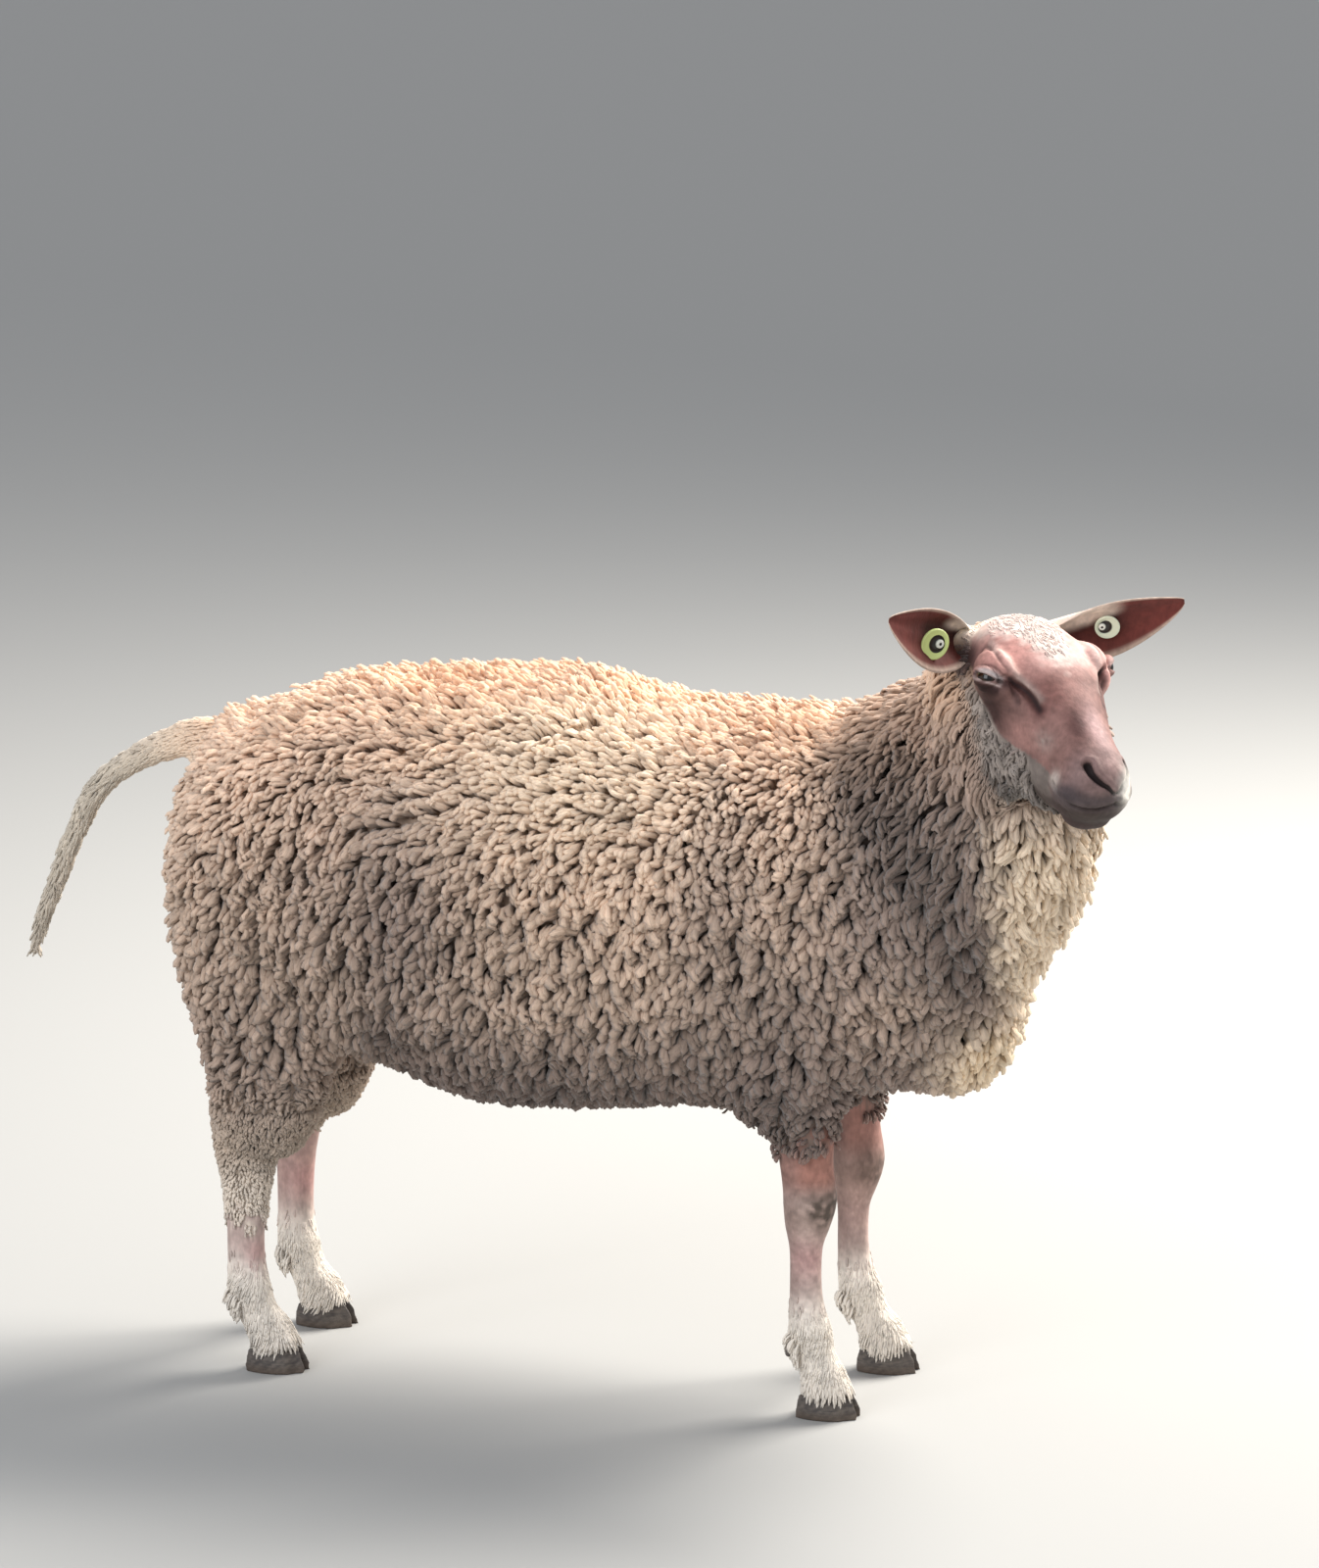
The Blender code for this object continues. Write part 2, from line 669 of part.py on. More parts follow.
def claw_ring(height, toe, heel, half_width, inner, s):
    """One level outline of a claw: flat beside its twin, bowed outside, pointed at the toe."""
    outline = []
    for step in range(9):
        t = step / 8
        x = heel + (toe - heel) * t
        bow = half_width * 2 * (1 - abs(2 * t - 0.85) ** 2.2 * 0.42) * (1 if t < 0.85 else 0.72)
        outline.append((x, s * (inner + bow * (1 - t**6 * 0.65)), height))
    for step in range(4):
        t = 1 - (step + 0.5) / 4
        outline.append((heel + (toe - heel) * t * 0.96, s * (inner + 0.0010 * t), height))
    return outline


def make_claw(name, x, y, s, splay, parts):
    """One horn claw lofted from its flat sole to the coronet."""
    rings = [
        claw_ring(0.0000, 0.0360, -0.0270, 0.0102, 0.0036, s),
        claw_ring(0.0070, 0.0350, -0.0275, 0.0106, 0.0029, s),
        claw_ring(0.0160, 0.0320, -0.0265, 0.0104, 0.0024, s),
        claw_ring(CLAW_HEIGHT, 0.0270, -0.0245, 0.0098, 0.0022, s),
    ]
    count = len(rings[0])
    points = [point for ring in rings for point in ring]
    mesh = bpy.data.meshes.new(name)
    mesh.from_pydata(points, [], tube_faces(len(rings), count))
    turn = Matrix.Rotation(splay, 4, "Z")
    mesh.transform(Matrix.Translation((x, y, 0)) @ turn)
    face_outwards(mesh)
    return add_object(name, mesh, parts, "horn")


def make_foot(name, x, y, heel_x, parts, helpers):
    """Two claws under the pastern, and two dewclaws let into the back of the fetlock."""
    pastern = parts.objects[name + "_pastern"]
    outer_side = math.copysign(1.0, y)
    lean = Matrix.Rotation(math.radians(24), 4, "Y")
    for which, s in (("outer", outer_side), ("inner", -outer_side)):
        make_claw(f"{name}_claw_{which}", x, y, s, s * math.radians(3), parts)
        dewclaw = ellipsoid(
            f"{name}_dewclaw_{which}", (heel_x, y + s * 0.0125, DEWCLAW_HEIGHT),
            (0.0055, 0.0065, 0.0095), parts, turn=lean, fineness=8,
        )
        dewclaw.data.materials.append(make_material("horn"))
        combine(pastern, swollen(dewclaw, GAP, helpers), "DIFFERENCE")


def part_hide(hide, parts, helpers):
    """Cuts the fused hide into head, neck, trunk, upper legs and tail. The rest is the trunk."""
    far = 0.35
    face = [(-0.005, 0.160), (0.040, 0.030), (0.086, -0.034), (0.118, -0.066), (0.300, -0.066), (0.300, 0.160)]
    neck_plane = Matrix.Translation((0.225, 0, 0.60)) @ Matrix.Rotation(math.radians(-34), 4, "Y")
    cuts = [
        (
            "head", "bare_skin",
            prism("region_head", face, 0.084, helpers, HEAD_FRAME),
            prism("clearance_head", face, 0.084, helpers, HEAD_FRAME, grow=GAP),
        )
    ]
    boxes = [
        ("neck", (0, -far, -far), (0.40, far, far), neck_plane),
        ("tail_tip", (-0.75, -0.06, 0.36), (TAIL_BEND_X, 0.06, 0.66), None),
        ("tail_root", (TAIL_BEND_X + GAP, -0.06, 0.54), (TAIL_HEAD_X, 0.06, 0.70), None),
    ]
    for side, s in SIDES.items():
        fore, hind = sorted((s * 0.050, s * 0.26)), sorted((s * 0.010, s * 0.26))
        boxes.append((f"foreleg_{side}_upper", (0.045, fore[0], 0.20), (0.262, fore[1], ELBOW_CUT), None))
        boxes.append((f"hind_leg_{side}_upper", (-0.60, hind[0], 0.20), (-0.302, hind[1], STIFLE_CUT), None))
    for name, low, high, frame in boxes:
        grown_low = [value - GAP for value in low]
        grown_high = [value + GAP for value in high]
        region = block("region_" + name, low, high, helpers, frame=frame)
        clearance = block("clearance_" + name, grown_low, grown_high, helpers, frame=frame)
        cuts.append((name, "fleece", region, clearance))
    for name, material, region, clearance in cuts:
        keep_largest(take_region(hide, name, region, clearance, parts, material))
    keep_largest(hide)
    hide.name = "trunk"
    helpers.objects.unlink(hide)
    parts.objects.link(hide)
    hide.data.materials.clear()
    hide.data.materials.append(make_material("fleece"))


def settle(parts):
    """Moves every piece so that the whole animal's box stands centred on the origin."""
    corners = []
    for thing in parts.objects:
        places = np.empty(len(thing.data.vertices) * 3)
        thing.data.vertices.foreach_get("co", places)
        places = places.reshape(-1, 3)
        corners += [places.min(axis=0), places.max(axis=0)]
    low, high = np.min(corners, axis=0), np.max(corners, axis=0)
    shift = Matrix.Translation((-(low[0] + high[0]) / 2, -(low[1] + high[1]) / 2, -low[2]))
    for thing in parts.objects:
        thing.data.transform(shift)
        thing.data.update()


def main():
    clear_scene()
    parts = make_collection(OBJECT_NAME, rendered=True)
    helpers = make_collection(OBJECT_NAME + "_cutters", rendered=False)
    hide = make_hide(helpers)
    part_hide(hide, parts, helpers)
    head = parts.objects["head"]
    pockets = [swollen(parts.objects[name], GAP, helpers) for name in ("head", "neck")]
    for side in SIDES:
        make_eye(side, head, parts, helpers)
        cut_nostril(side, head, helpers)
        make_ear(side, pockets, make_pin_cutter(side, helpers), parts)
        make_tag(side, parts)
        y = SIDES[side] * STANCE_HALF_WIDTH
        make_lower_leg(f"foreleg_{side}", foreleg_keys(side), parts, helpers)
        make_lower_leg(f"hind_leg_{side}", hind_leg_keys(side), parts, helpers)
        fore_heel = 0.59 * FORE_CANNON_X[side] + 0.41 * FORE_FOOT_X[side] - 0.0220
        hind_heel = 0.71 * HIND_CANNON_X[side] + 0.29 * HIND_FOOT_X[side] - 0.0225
        make_foot(f"foreleg_{side}", FORE_FOOT_X[side], y, fore_heel, parts, helpers)
        make_foot(f"hind_leg_{side}", HIND_FOOT_X[side], y, hind_heel, parts, helpers)
    settle(parts)
    for cutter in helpers.objects:
        cutter.display_type = "WIRE"
        cutter.hide_render = True


main()
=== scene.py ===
"""Looks of a standing ewe: one skin inside the solids, a half-grown fleece of curled locks over it, glossy
eyes with level pupils, split hooves and a round button tag in each ear, on a pale studio floor.

Metres, +Z up, in the frame of the solids. Body coordinates have their origin on the floor between the
feet; head coordinates run x along the mouth line, y to the ewe's left and z to the crown. In the formulas
p is a point in body coordinates, h one in head coordinates, and q one of a chosen few. The near side is
the ewe's right, towards the camera, and the far side its left.
"""

import math

import bmesh
import bpy
import numpy as np
from mathutils import Matrix, Vector


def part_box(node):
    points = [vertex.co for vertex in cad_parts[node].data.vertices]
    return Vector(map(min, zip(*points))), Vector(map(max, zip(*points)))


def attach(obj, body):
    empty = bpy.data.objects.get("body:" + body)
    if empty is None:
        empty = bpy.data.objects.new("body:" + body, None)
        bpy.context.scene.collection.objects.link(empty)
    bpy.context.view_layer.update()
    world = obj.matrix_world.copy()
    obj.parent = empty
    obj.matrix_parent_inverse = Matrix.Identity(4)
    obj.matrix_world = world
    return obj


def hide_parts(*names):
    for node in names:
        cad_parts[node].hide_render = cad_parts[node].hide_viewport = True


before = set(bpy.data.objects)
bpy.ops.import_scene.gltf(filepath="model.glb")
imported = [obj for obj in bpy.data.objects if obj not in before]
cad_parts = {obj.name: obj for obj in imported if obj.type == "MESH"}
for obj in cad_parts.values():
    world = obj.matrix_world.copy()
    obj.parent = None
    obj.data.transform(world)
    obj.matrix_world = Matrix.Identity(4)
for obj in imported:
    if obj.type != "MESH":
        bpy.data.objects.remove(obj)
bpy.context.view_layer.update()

SIDES = {"right": -1.0, "left": 1.0}
LEGS = [(end, side) for end in ("foreleg", "hind_leg") for side in SIDES]
BODY_NODES = ["trunk", "neck"] + [f"{end}_{side}_upper" for end, side in LEGS]
BARE_NODES = ["head", "tail_root", "tail_tip"] + ["ear_" + side for side in SIDES]
BARE_NODES += [f"{end}_{side}_{piece}" for end, side in LEGS for piece in ("shank", "pastern")]

# How the head is held, and where its eyeballs sit in it.
HEAD_YAW, HEAD_PITCH, HEAD_ROLL = math.radians(-48), math.radians(13), math.radians(1)
EYE_IN_HEAD = np.array((0.095, 0.0595, 0.074))
EYE_RADIUS = 0.0145
HEAD_IN_BODY = np.array((0.3650, -0.0740, 0.7300))

# How far along the body the cannon and the foot of each leg stand, and how far out all four do.
FORE_CANNON_X = 0.184
CANNON_X = {
    "foreleg_right": FORE_CANNON_X,
    "foreleg_left": FORE_CANNON_X,
    "hind_leg_right": -0.420,
    "hind_leg_left": -0.434,
}
FOOT_X = {"foreleg_right": 0.205, "foreleg_left": 0.219, "hind_leg_right": -0.390, "hind_leg_left": -0.404}
STANCE_HALF_WIDTH = 0.092
KNEE_FRONT_X = 0.205

HEAD_TURN = np.array(
    Matrix.Rotation(HEAD_YAW, 3, "Z")
    @ Matrix.Rotation(HEAD_PITCH, 3, "Y")
    @ Matrix.Rotation(HEAD_ROLL, 3, "X")
)
eye_centres = {side: np.array(sum(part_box("eye_" + side), Vector())) / 2 for side in SIDES}
EYES_MIDDLE = (eye_centres["right"] + eye_centres["left"]) / 2
HEAD_BASE = EYES_MIDDLE - HEAD_TURN @ (EYE_IN_HEAD * (1, 0, 1))
BODY_ORIGIN = HEAD_BASE - HEAD_IN_BODY

MAKE = np.random.default_rng(7)


# --- array helpers ------------------------------------------------------------------------------


def to_head(points):
    """Row-frame points in head coordinates: turned back and measured from the head's base."""
    return (points - HEAD_BASE) @ HEAD_TURN


def from_body(points):
    """Body coordinates in the row frame."""
    return points + BODY_ORIGIN


def from_head(points):
    """Head coordinates in the row frame."""
    return np.asarray(points) @ HEAD_TURN.T + HEAD_BASE


def ramp(value, low, high):
    """0 below low, 1 above high, and an S curve between them."""
    t = np.clip((value - low) / (high - low), 0.0, 1.0)
    return t * t * (3 - 2 * t)


def unit(vectors):
    """Vectors at length one."""
    return vectors / np.maximum(np.linalg.norm(vectors, axis=-1, keepdims=True), 1e-9)


def wander(points, size, seed, waves=7):
    """A smooth random field in -1..1: a sum of sine waves in random directions, about size long."""
    pick = np.random.default_rng(seed)
    way = unit(pick.normal(size=(waves, 3))) * (2 * math.pi / size) * pick.uniform(0.6, 1.5, (waves, 1))
    start = pick.uniform(0, 2 * math.pi, waves)
    return np.clip(np.sin(points @ way.T + start).sum(axis=1) / math.sqrt(waves) * 0.8, -1, 1)


def path_distance(points, knots, count=24):
    """Distance from each point to a smooth path through the knots, and the share of the path there."""
    return gap_to(points, smooth_rows(knots, count))


def gap_to(points, path):
    """Distance from each point to the nearest point of a path, and the share of the path there."""
    gap = np.linalg.norm(points[:, None] - path[None], axis=2)
    return gap.min(axis=1), gap.argmin(axis=1) / (len(path) - 1)


def evened(path):
    """A path of points with its steps smoothed out, its ends kept."""
    path = path.copy()
    for _ in range(30):
        path[1:-1] = (path[:-2] + 2 * path[1:-1] + path[2:]) / 4
    return path


def nearest(points, seeds, block=2000):
    """The number of the nearest seed to each point, a block of points at a time."""
    found = [
        ((points[i : i + block, None] - seeds[None]) ** 2).sum(axis=2).argmin(axis=1)
        for i in range(0, len(points), block)
    ]
    return np.concatenate(found)


def spot(points, centre, radii):
    """1 at the centre of an oval patch, falling off to 0 as a bell curve."""
    return np.exp(-(((points - np.asarray(centre)) / np.asarray(radii)) ** 2).sum(axis=1))


def bell(gap, width):
    """1 at no distance, falling off over the width."""
    return np.exp(-((gap / width) ** 2))


def smooth_rows(keys, count):
    """Key rows carried on a Catmull-Rom curve to count rows, spaced evenly in key number."""
    keys = np.asarray(keys, float)
    padded = np.vstack([2 * keys[0] - keys[1], keys, 2 * keys[-1] - keys[-2]])
    at = np.linspace(0, len(keys) - 1, count)
    cell = np.minimum(at.astype(int), len(keys) - 2)
    t = (at - cell)[:, None]
    p0, p1, p2, p3 = (padded[cell + step] for step in range(4))
    bend = 2 * p0 - 5 * p1 + 4 * p2 - p3
    turn = -p0 + 3 * p1 - 3 * p2 + p3
    return 0.5 * (2 * p1 + (p2 - p0) * t + bend * t**2 + turn * t**3)


def tube_quads(rings, sides):
    """Quads that join each ring of points to the next one round."""
    ring, side = np.meshgrid(np.arange(rings - 1), np.arange(sides), indexing="ij")
    ahead = (side + 1) % sides
    near, far = ring * sides, (ring + 1) * sides
    return np.stack([near + side, near + ahead, far + ahead, far + side], axis=-1).reshape(-1, 4)


def object_from(name, points, faces, caps=()):
    """An object from arrays: points, four-cornered faces, and any many-cornered caps."""
    faces = np.asarray(faces)
    caps = [np.asarray(cap) for cap in caps]
    corners = np.concatenate([faces.reshape(-1)] + [cap.reshape(-1) for cap in caps]).astype(np.int32)
    sizes = np.concatenate(
        [np.full(len(faces), faces.shape[1])] + [np.full(len(cap), cap.shape[1]) for cap in caps]
    ).astype(np.int32)
    mesh = bpy.data.meshes.new(name)
    mesh.vertices.add(len(points))
    mesh.vertices.foreach_set("co", np.ascontiguousarray(points, np.float32).reshape(-1))
    mesh.loops.add(len(corners))
    mesh.loops.foreach_set("vertex_index", corners)
    mesh.polygons.add(len(sizes))
    mesh.polygons.foreach_set("loop_start", np.concatenate([[0], np.cumsum(sizes)[:-1]]).astype(np.int32))
    mesh.polygons.foreach_set("loop_total", sizes)
    mesh.polygons.foreach_set("use_smooth", np.ones(len(sizes), bool))
    mesh.update(calc_edges=True)
    thing = bpy.data.objects.new(name, mesh)
    bpy.context.scene.collection.objects.link(thing)
    return thing


def tube(name, points, rings, sides):
    """A closed shell from rings of points: quads from each ring to the next, and a cap on each end."""
    ends = [np.arange(sides)[None, ::-1], (np.arange(sides) + (rings - 1) * sides)[None]]
    thing = object_from(name, points, tube_quads(rings, sides), ends)
    face_outwards(thing)
    return thing


def face_outwards(thing):
    """Turns the faces of closed shells outwards."""
    shape = bmesh.new()
    shape.from_mesh(thing.data)
    bmesh.ops.recalc_face_normals(shape, faces=shape.faces)
    shape.to_mesh(thing.data)
    shape.free()


def points_of(thing):
    """The object's points as an array."""
    places = np.empty(len(thing.data.vertices) * 3)
    thing.data.vertices.foreach_get("co", places)
    return places.reshape(-1, 3)


def normals_of(thing):
    """The object's point normals as an array."""
    ways = np.empty(len(thing.data.vertices) * 3)
    thing.data.vertices.foreach_get("normal", ways)
    return ways.reshape(-1, 3)


def put_points(thing, points):
    """Writes an array of points back into the object."""
    thing.data.vertices.foreach_set("co", np.ascontiguousarray(points, np.float32).reshape(-1))
    thing.data.update()


def hand_over(piece, nodes):
    """Fixes a finished piece to the body in place of its solids."""
    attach(piece, "root")
    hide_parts(*nodes)


def bake(thing):
    """Applies the object's modifiers."""
    bpy.context.view_layer.update()
    graph = bpy.context.evaluated_depsgraph_get()
    mesh = bpy.data.meshes.new_from_object(thing.evaluated_get(graph))
    old = thing.data
    thing.modifiers.clear()
    thing.data = mesh
    bpy.data.meshes.remove(old)
    return thing


def fuse(thing, voxel, rounds, factor=0.5):
    """One closed surface round all of the object's shells, then evened out."""
    step = thing.modifiers.new("fuse", "REMESH")
    step.mode = "VOXEL"
    step.voxel_size = voxel
    step.use_smooth_shade = True
    if rounds:
        relax = thing.modifiers.new("relax", "SMOOTH")
        relax.factor = factor
        relax.iterations = rounds
    return bake(thing)


def joined(name, things):
    """The shells of several objects in one object. The others are removed."""
    shape = bmesh.new()
    for thing in things:
        shape.from_mesh(thing.data)
        bpy.data.objects.remove(thing, do_unlink=True)
    mesh = bpy.data.meshes.new(name)
    shape.to_mesh(mesh)
    shape.free()
    whole = bpy.data.objects.new(name, mesh)
    bpy.context.scene.collection.objects.link(whole)
    return whole


# --- the skin -----------------------------------------------------------------------------------


def loft(name, keys, reference, power, place, rings=90, sides=56):
    """A closed tube through ovals: centre + wide * across * |cos|^(2/power) + tall * up * |sin|^(2/power).

    A key is x, y, z, half width, reach towards the reference direction, reach away from it.
    """
    rows = smooth_rows(keys, rings)
    centres, radii = rows[:, :3], np.maximum(rows[:, 3:6], 0.0005)
    tangent = unit(np.gradient(centres, axis=0))
    across = unit(np.cross(np.asarray(reference, float), tangent))
    towards = np.cross(tangent, across)
    angle = np.linspace(0, 2 * math.pi, sides, endpoint=False)
    cos, sin = np.cos(angle), np.sin(angle)
    wide = np.sign(cos) * np.abs(cos) ** (2 / power)
    tall = np.sign(sin) * np.abs(sin) ** (2 / power)
    reach = np.where(tall > 0, radii[:, 1:2], radii[:, 2:3])
    points = (
        centres[:, None]
        + across[:, None] * (radii[:, 0:1] * wide)[..., None]
        + towards[:, None] * (reach * tall)[..., None]
    ).reshape(-1, 3)
    return tube(name, place(points), rings, sides)


def head_lump(centre, radii):
    """An oval mass of the head: centre + radii * (cos u cos v, sin u cos v, sin v)."""
    rings, sides = 16, 28
    v = np.linspace(-math.pi / 2 + 0.02, math.pi / 2 - 0.02, rings)[:, None]
    u = np.linspace(0, 2 * math.pi, sides, endpoint=False)[None]
    shape = np.stack([np.cos(u) * np.cos(v), np.sin(u) * np.cos(v), np.sin(v) + 0 * u], axis=-1)
    return tube("head_lump", from_head(np.asarray(centre) + shape.reshape(-1, 3) * radii), rings, sides)


def head_masses():
    """Nape to lips, and the lumps of sockets, cheeks, ear roots, lips and chin."""
    rows = [
        # x, height of the widest line, half width, crown or nose line, jaw line
        (-0.020, 0.030, 0.038, 0.076, -0.026),
        (0.020, 0.036, 0.056, 0.103, -0.046),
        (0.056, 0.040, 0.063, 0.113, -0.057),
        (0.093, 0.036, 0.061, 0.106, -0.058),
        (0.125, 0.024, 0.0515, 0.089, -0.051),
        (0.158, 0.012, 0.0420, 0.070, -0.043),
        (0.188, 0.005, 0.0365, 0.054, -0.038),
        (0.213, 0.002, 0.0350, 0.042, -0.035),
        (0.231, 0.001, 0.0285, 0.030, -0.026),
        (0.240, 0.001, 0.0140, 0.014, -0.011),
    ]
    keys = [(x, 0, mid, wide, up - mid, mid - down) for x, mid, wide, up, down in rows]
    things = [loft("head_mass", keys, (0, 0, 1), 2.3, from_head)]
    for s in SIDES.values():
        things += [
            head_lump((0.090, s * 0.0500, 0.0715), (0.036, 0.0185, 0.027)),  # socket of the eye
            head_lump((0.080, s * 0.030, -0.012), (0.054, 0.026, 0.043)),  # cheek
            head_lump((0.016, s * 0.042, 0.071), (0.027, 0.0185, 0.023)),  # root of the ear
            head_lump((0.213, s * 0.014, 0.001), (0.023, 0.023, 0.025)),  # lip
            head_lump((0.203, s * 0.004, -0.029), (0.023, 0.020, 0.013)),  # chin
        ]
    return things


LEG_ROWS = {
    # share of the step from cannon to foot, height, half width, front reach, back reach
    "foreleg": [
        (-0.08, 0.330, 0.0290, 0.0320, 0.0360),
        (-0.05, 0.292, 0.0250, 0.0285, 0.0330),
        (0.00, 0.262, 0.0225, 0.0262, 0.0285),
        (0.06, 0.236, 0.0235, 0.0278, 0.0262),
        (0.08, 0.216, 0.0240, 0.0268, 0.0258),
        (0.03, 0.196, 0.0208, 0.0222, 0.0230),
        (0.00, 0.172, 0.0150, 0.0156, 0.0172),
        (0.00, 0.132, 0.0143, 0.0152, 0.0168),
        (0.10, 0.105, 0.0168, 0.0176, 0.0200),
        (0.22, 0.088, 0.0205, 0.0200, 0.0226),
        (0.50, 0.062, 0.0183, 0.0188, 0.0192),
        (0.84, 0.040, 0.0220, 0.0228, 0.0232),
        (1.06, 0.0225, 0.0228, 0.0260, 0.0250),
    ],
    "hind_leg": [
        (0.10, 0.300, 0.0270, 0.0330, 0.0360),
        (0.06, 0.262, 0.0250, 0.0300, 0.0330),
        (0.06, 0.236, 0.0238, 0.0275, 0.0298),
        (0.03, 0.212, 0.0205, 0.0242, 0.0256),
        (0.00, 0.182, 0.0166, 0.0202, 0.0218),
        (-0.03, 0.140, 0.0157, 0.0184, 0.0202),
        (0.00, 0.110, 0.0168, 0.0188, 0.0210),
        (0.08, 0.088, 0.0205, 0.0202, 0.0230),
        (0.38, 0.062, 0.0183, 0.0188, 0.0200),
        (0.80, 0.040, 0.0216, 0.0228, 0.0235),
        (1.06, 0.0225, 0.0225, 0.0256, 0.0250),
    ],
}


def leg_keys(end, side):
    """Centre line and girth of a bare leg, from inside the wool to the coronet, in body coordinates."""
    cannon, foot = CANNON_X[f"{end}_{side}"], FOOT_X[f"{end}_{side}"]
    y = SIDES[side] * STANCE_HALF_WIDTH
    return [(cannon + share * (foot - cannon), y, *girth) for share, *girth in LEG_ROWS[end]]


TAIL = [
    # x, y, height, half width, reach back, reach forward
    (-0.400, 0.000, 0.640, 0.026, 0.024, 0.024),
    (-0.490, 0.000, 0.648, 0.0200, 0.0160, 0.0185),
    (-0.530, 0.002, 0.641, 0.0155, 0.0115, 0.0135),
    (-0.575, 0.006, 0.622, 0.0118, 0.0092, 0.0092),
    (-0.618, 0.010, 0.590, 0.0100, 0.0090, 0.0090),
    (-0.646, 0.013, 0.545, 0.0086, 0.0084, 0.0084),
    (-0.670, 0.015, 0.490, 0.0074, 0.0074, 0.0074),
    (-0.690, 0.016, 0.442, 0.0056, 0.0056, 0.0056),
    (-0.700, 0.016, 0.412, 0.0030, 0.0030, 0.0030),
]


def tail_share(p):
    """1 on the tail and 0 on the rump, for points in body coordinates."""
    gap, along = path_distance(p, [row[:3] for row in TAIL])
    return (1 - ramp(gap, 0.030, 0.075)) * ramp(-p[:, 0], 0.415, 0.510)


def coat_depth(points):
    """How far the skin lies under the wool's tips: deep on the barrel, thin on head, tail and hocks."""
    p, h = points - BODY_ORIGIN, to_head(points)
    depth = 0.005 + 0.003 * ramp(p[:, 2], 0.17, 0.26) + 0.020 * ramp(p[:, 2], 0.27, 0.42)
    depth = depth - (depth - 0.0045) * tail_share(p)
    poll = ramp(h[:, 0], -0.050, -0.010) * ramp(h[:, 2], 0.060, 0.085)
    near_head = np.maximum(ramp(past(points, WOOL_X), -0.045, -0.004) * (h[:, 2] > -0.075), poll)
    return depth * (1 - near_head) + 0.0045 * near_head


BODY_VOXEL, SKIN_VOXEL, HORN_VOXEL = 0.0055, 0.0027, 0.0013


def make_skin():
    """The whole hide in one mesh: the body drawn in by the coat's depth, head and legs at full size."""
    body = joined("hide", [copy_of(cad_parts[name]) for name in BODY_NODES])
    fuse(body, BODY_VOXEL, 8)
    points = points_of(body)
    tuck = 0.022 * spot(points - BODY_ORIGIN, (-0.228, 0.0, 0.345), (0.050, 1.0, 0.040))
    put_points(body, points - normals_of(body) * (coat_depth(points) + tuck)[:, None])
    things = [body, loft("tail_mass", TAIL, (0, 1, 0), 2.0, from_body)] + head_masses()
    for end, side in LEGS:
        things.append(loft("leg_mass", leg_keys(end, side), (1, 0, 0), 2.15, from_body, rings=110))
    skin = fuse(joined("skin", things), SKIN_VOXEL, 5)
    refine_head(skin)
    h = face_points(points_of(skin))
    face = on_face(h)
    near = {name: face[nearest(smooth_rows(knots, 72), h[face], 8)] for name, knots in FOLDS.items()}
    for _ in range(SCULPT_PASSES):
        lay_paths(skin, near)
        points = points_of(skin)
        put_points(skin, points + normals_of(skin) * (sculpt_depth(points) / SCULPT_PASSES)[:, None])
    lay_paths(skin, near)
    put_points(skin, set_lids(points_of(skin)))
    thin_body(skin)
    earless = twin_of(skin)
    ears = [make_ear(side) for side in SIDES]
    tones = [coat_colour(points_of(skin))] + [ear_tones for ear, ear_tones in ears]
    skin = joined("skin", [skin] + [ear for ear, ear_tones in ears])
    give_tone(skin, np.concatenate(tones))
    return skin, earless


def on_face(h):
    """The numbers of the points on the front of the head, for face coordinates."""
    return np.flatnonzero((h[:, 0] > 0.02) & (h[:, 0] < 0.30) & (h[:, 1] < 0.11) & (h[:, 2] > -0.09))


def lay_paths(skin, near):
    """Lays the path of each fold through the skin's points that are nearest to it."""
    h = face_points(points_of(skin))
    PATHS.update({name: evened(h[rows]) for name, rows in near.items()})


def twin_of(thing):
    """A second object with a mesh of its own."""
    twin = thing.copy()
    twin.data = thing.data.copy()
    bpy.context.scene.collection.objects.link(twin)
    return twin


def copy_of(node):
    """A loose copy of a solid with its points merged."""
    shape = bmesh.new()
    shape.from_mesh(node.data)
    bmesh.ops.remove_doubles(shape, verts=shape.verts, dist=1e-6)
    mesh = bpy.data.meshes.new("copy")
    shape.to_mesh(mesh)
    shape.free()
    thing = bpy.data.objects.new("copy", mesh)
    bpy.context.scene.collection.objects.link(thing)
    return thing


def refine_head(skin):
    """Splits the faces of the bare face, where the skin is creased most finely."""
    shape = bmesh.new()
    shape.from_mesh(skin.data)
    h = to_head(points_of(skin))
    side_gap = [np.linalg.norm(h - EYE_IN_HEAD * (1, s, 1), axis=1) for s in SIDES.values()]
    groove = (h[:, 0] > 0.10) & (h[:, 0] < 0.165) & (h[:, 2] > 0.045) & (np.abs(h[:, 1]) > 0.022)
    lips = (h[:, 0] > 0.190) & (h[:, 2] > -0.018) & (h[:, 2] < 0.040)
    fine = ((np.minimum(*side_gap) < 0.027) | groove | lips) & (np.abs(h[:, 1]) < 0.09) & (h[:, 0] < 0.30)
    fine &= h[:, 2] < 0.15
    shape.verts.ensure_lookup_table()
    edges = [edge for edge in shape.edges if fine[edge.verts[0].index] and fine[edge.verts[1].index]]
    bmesh.ops.subdivide_edges(shape, edges=edges, cuts=1, use_grid_fill=True, smooth=0.0)
    bmesh.ops.triangulate(shape, faces=[face for face in shape.faces if len(face.verts) > 4])
    shape.to_mesh(skin.data)
    shape.free()


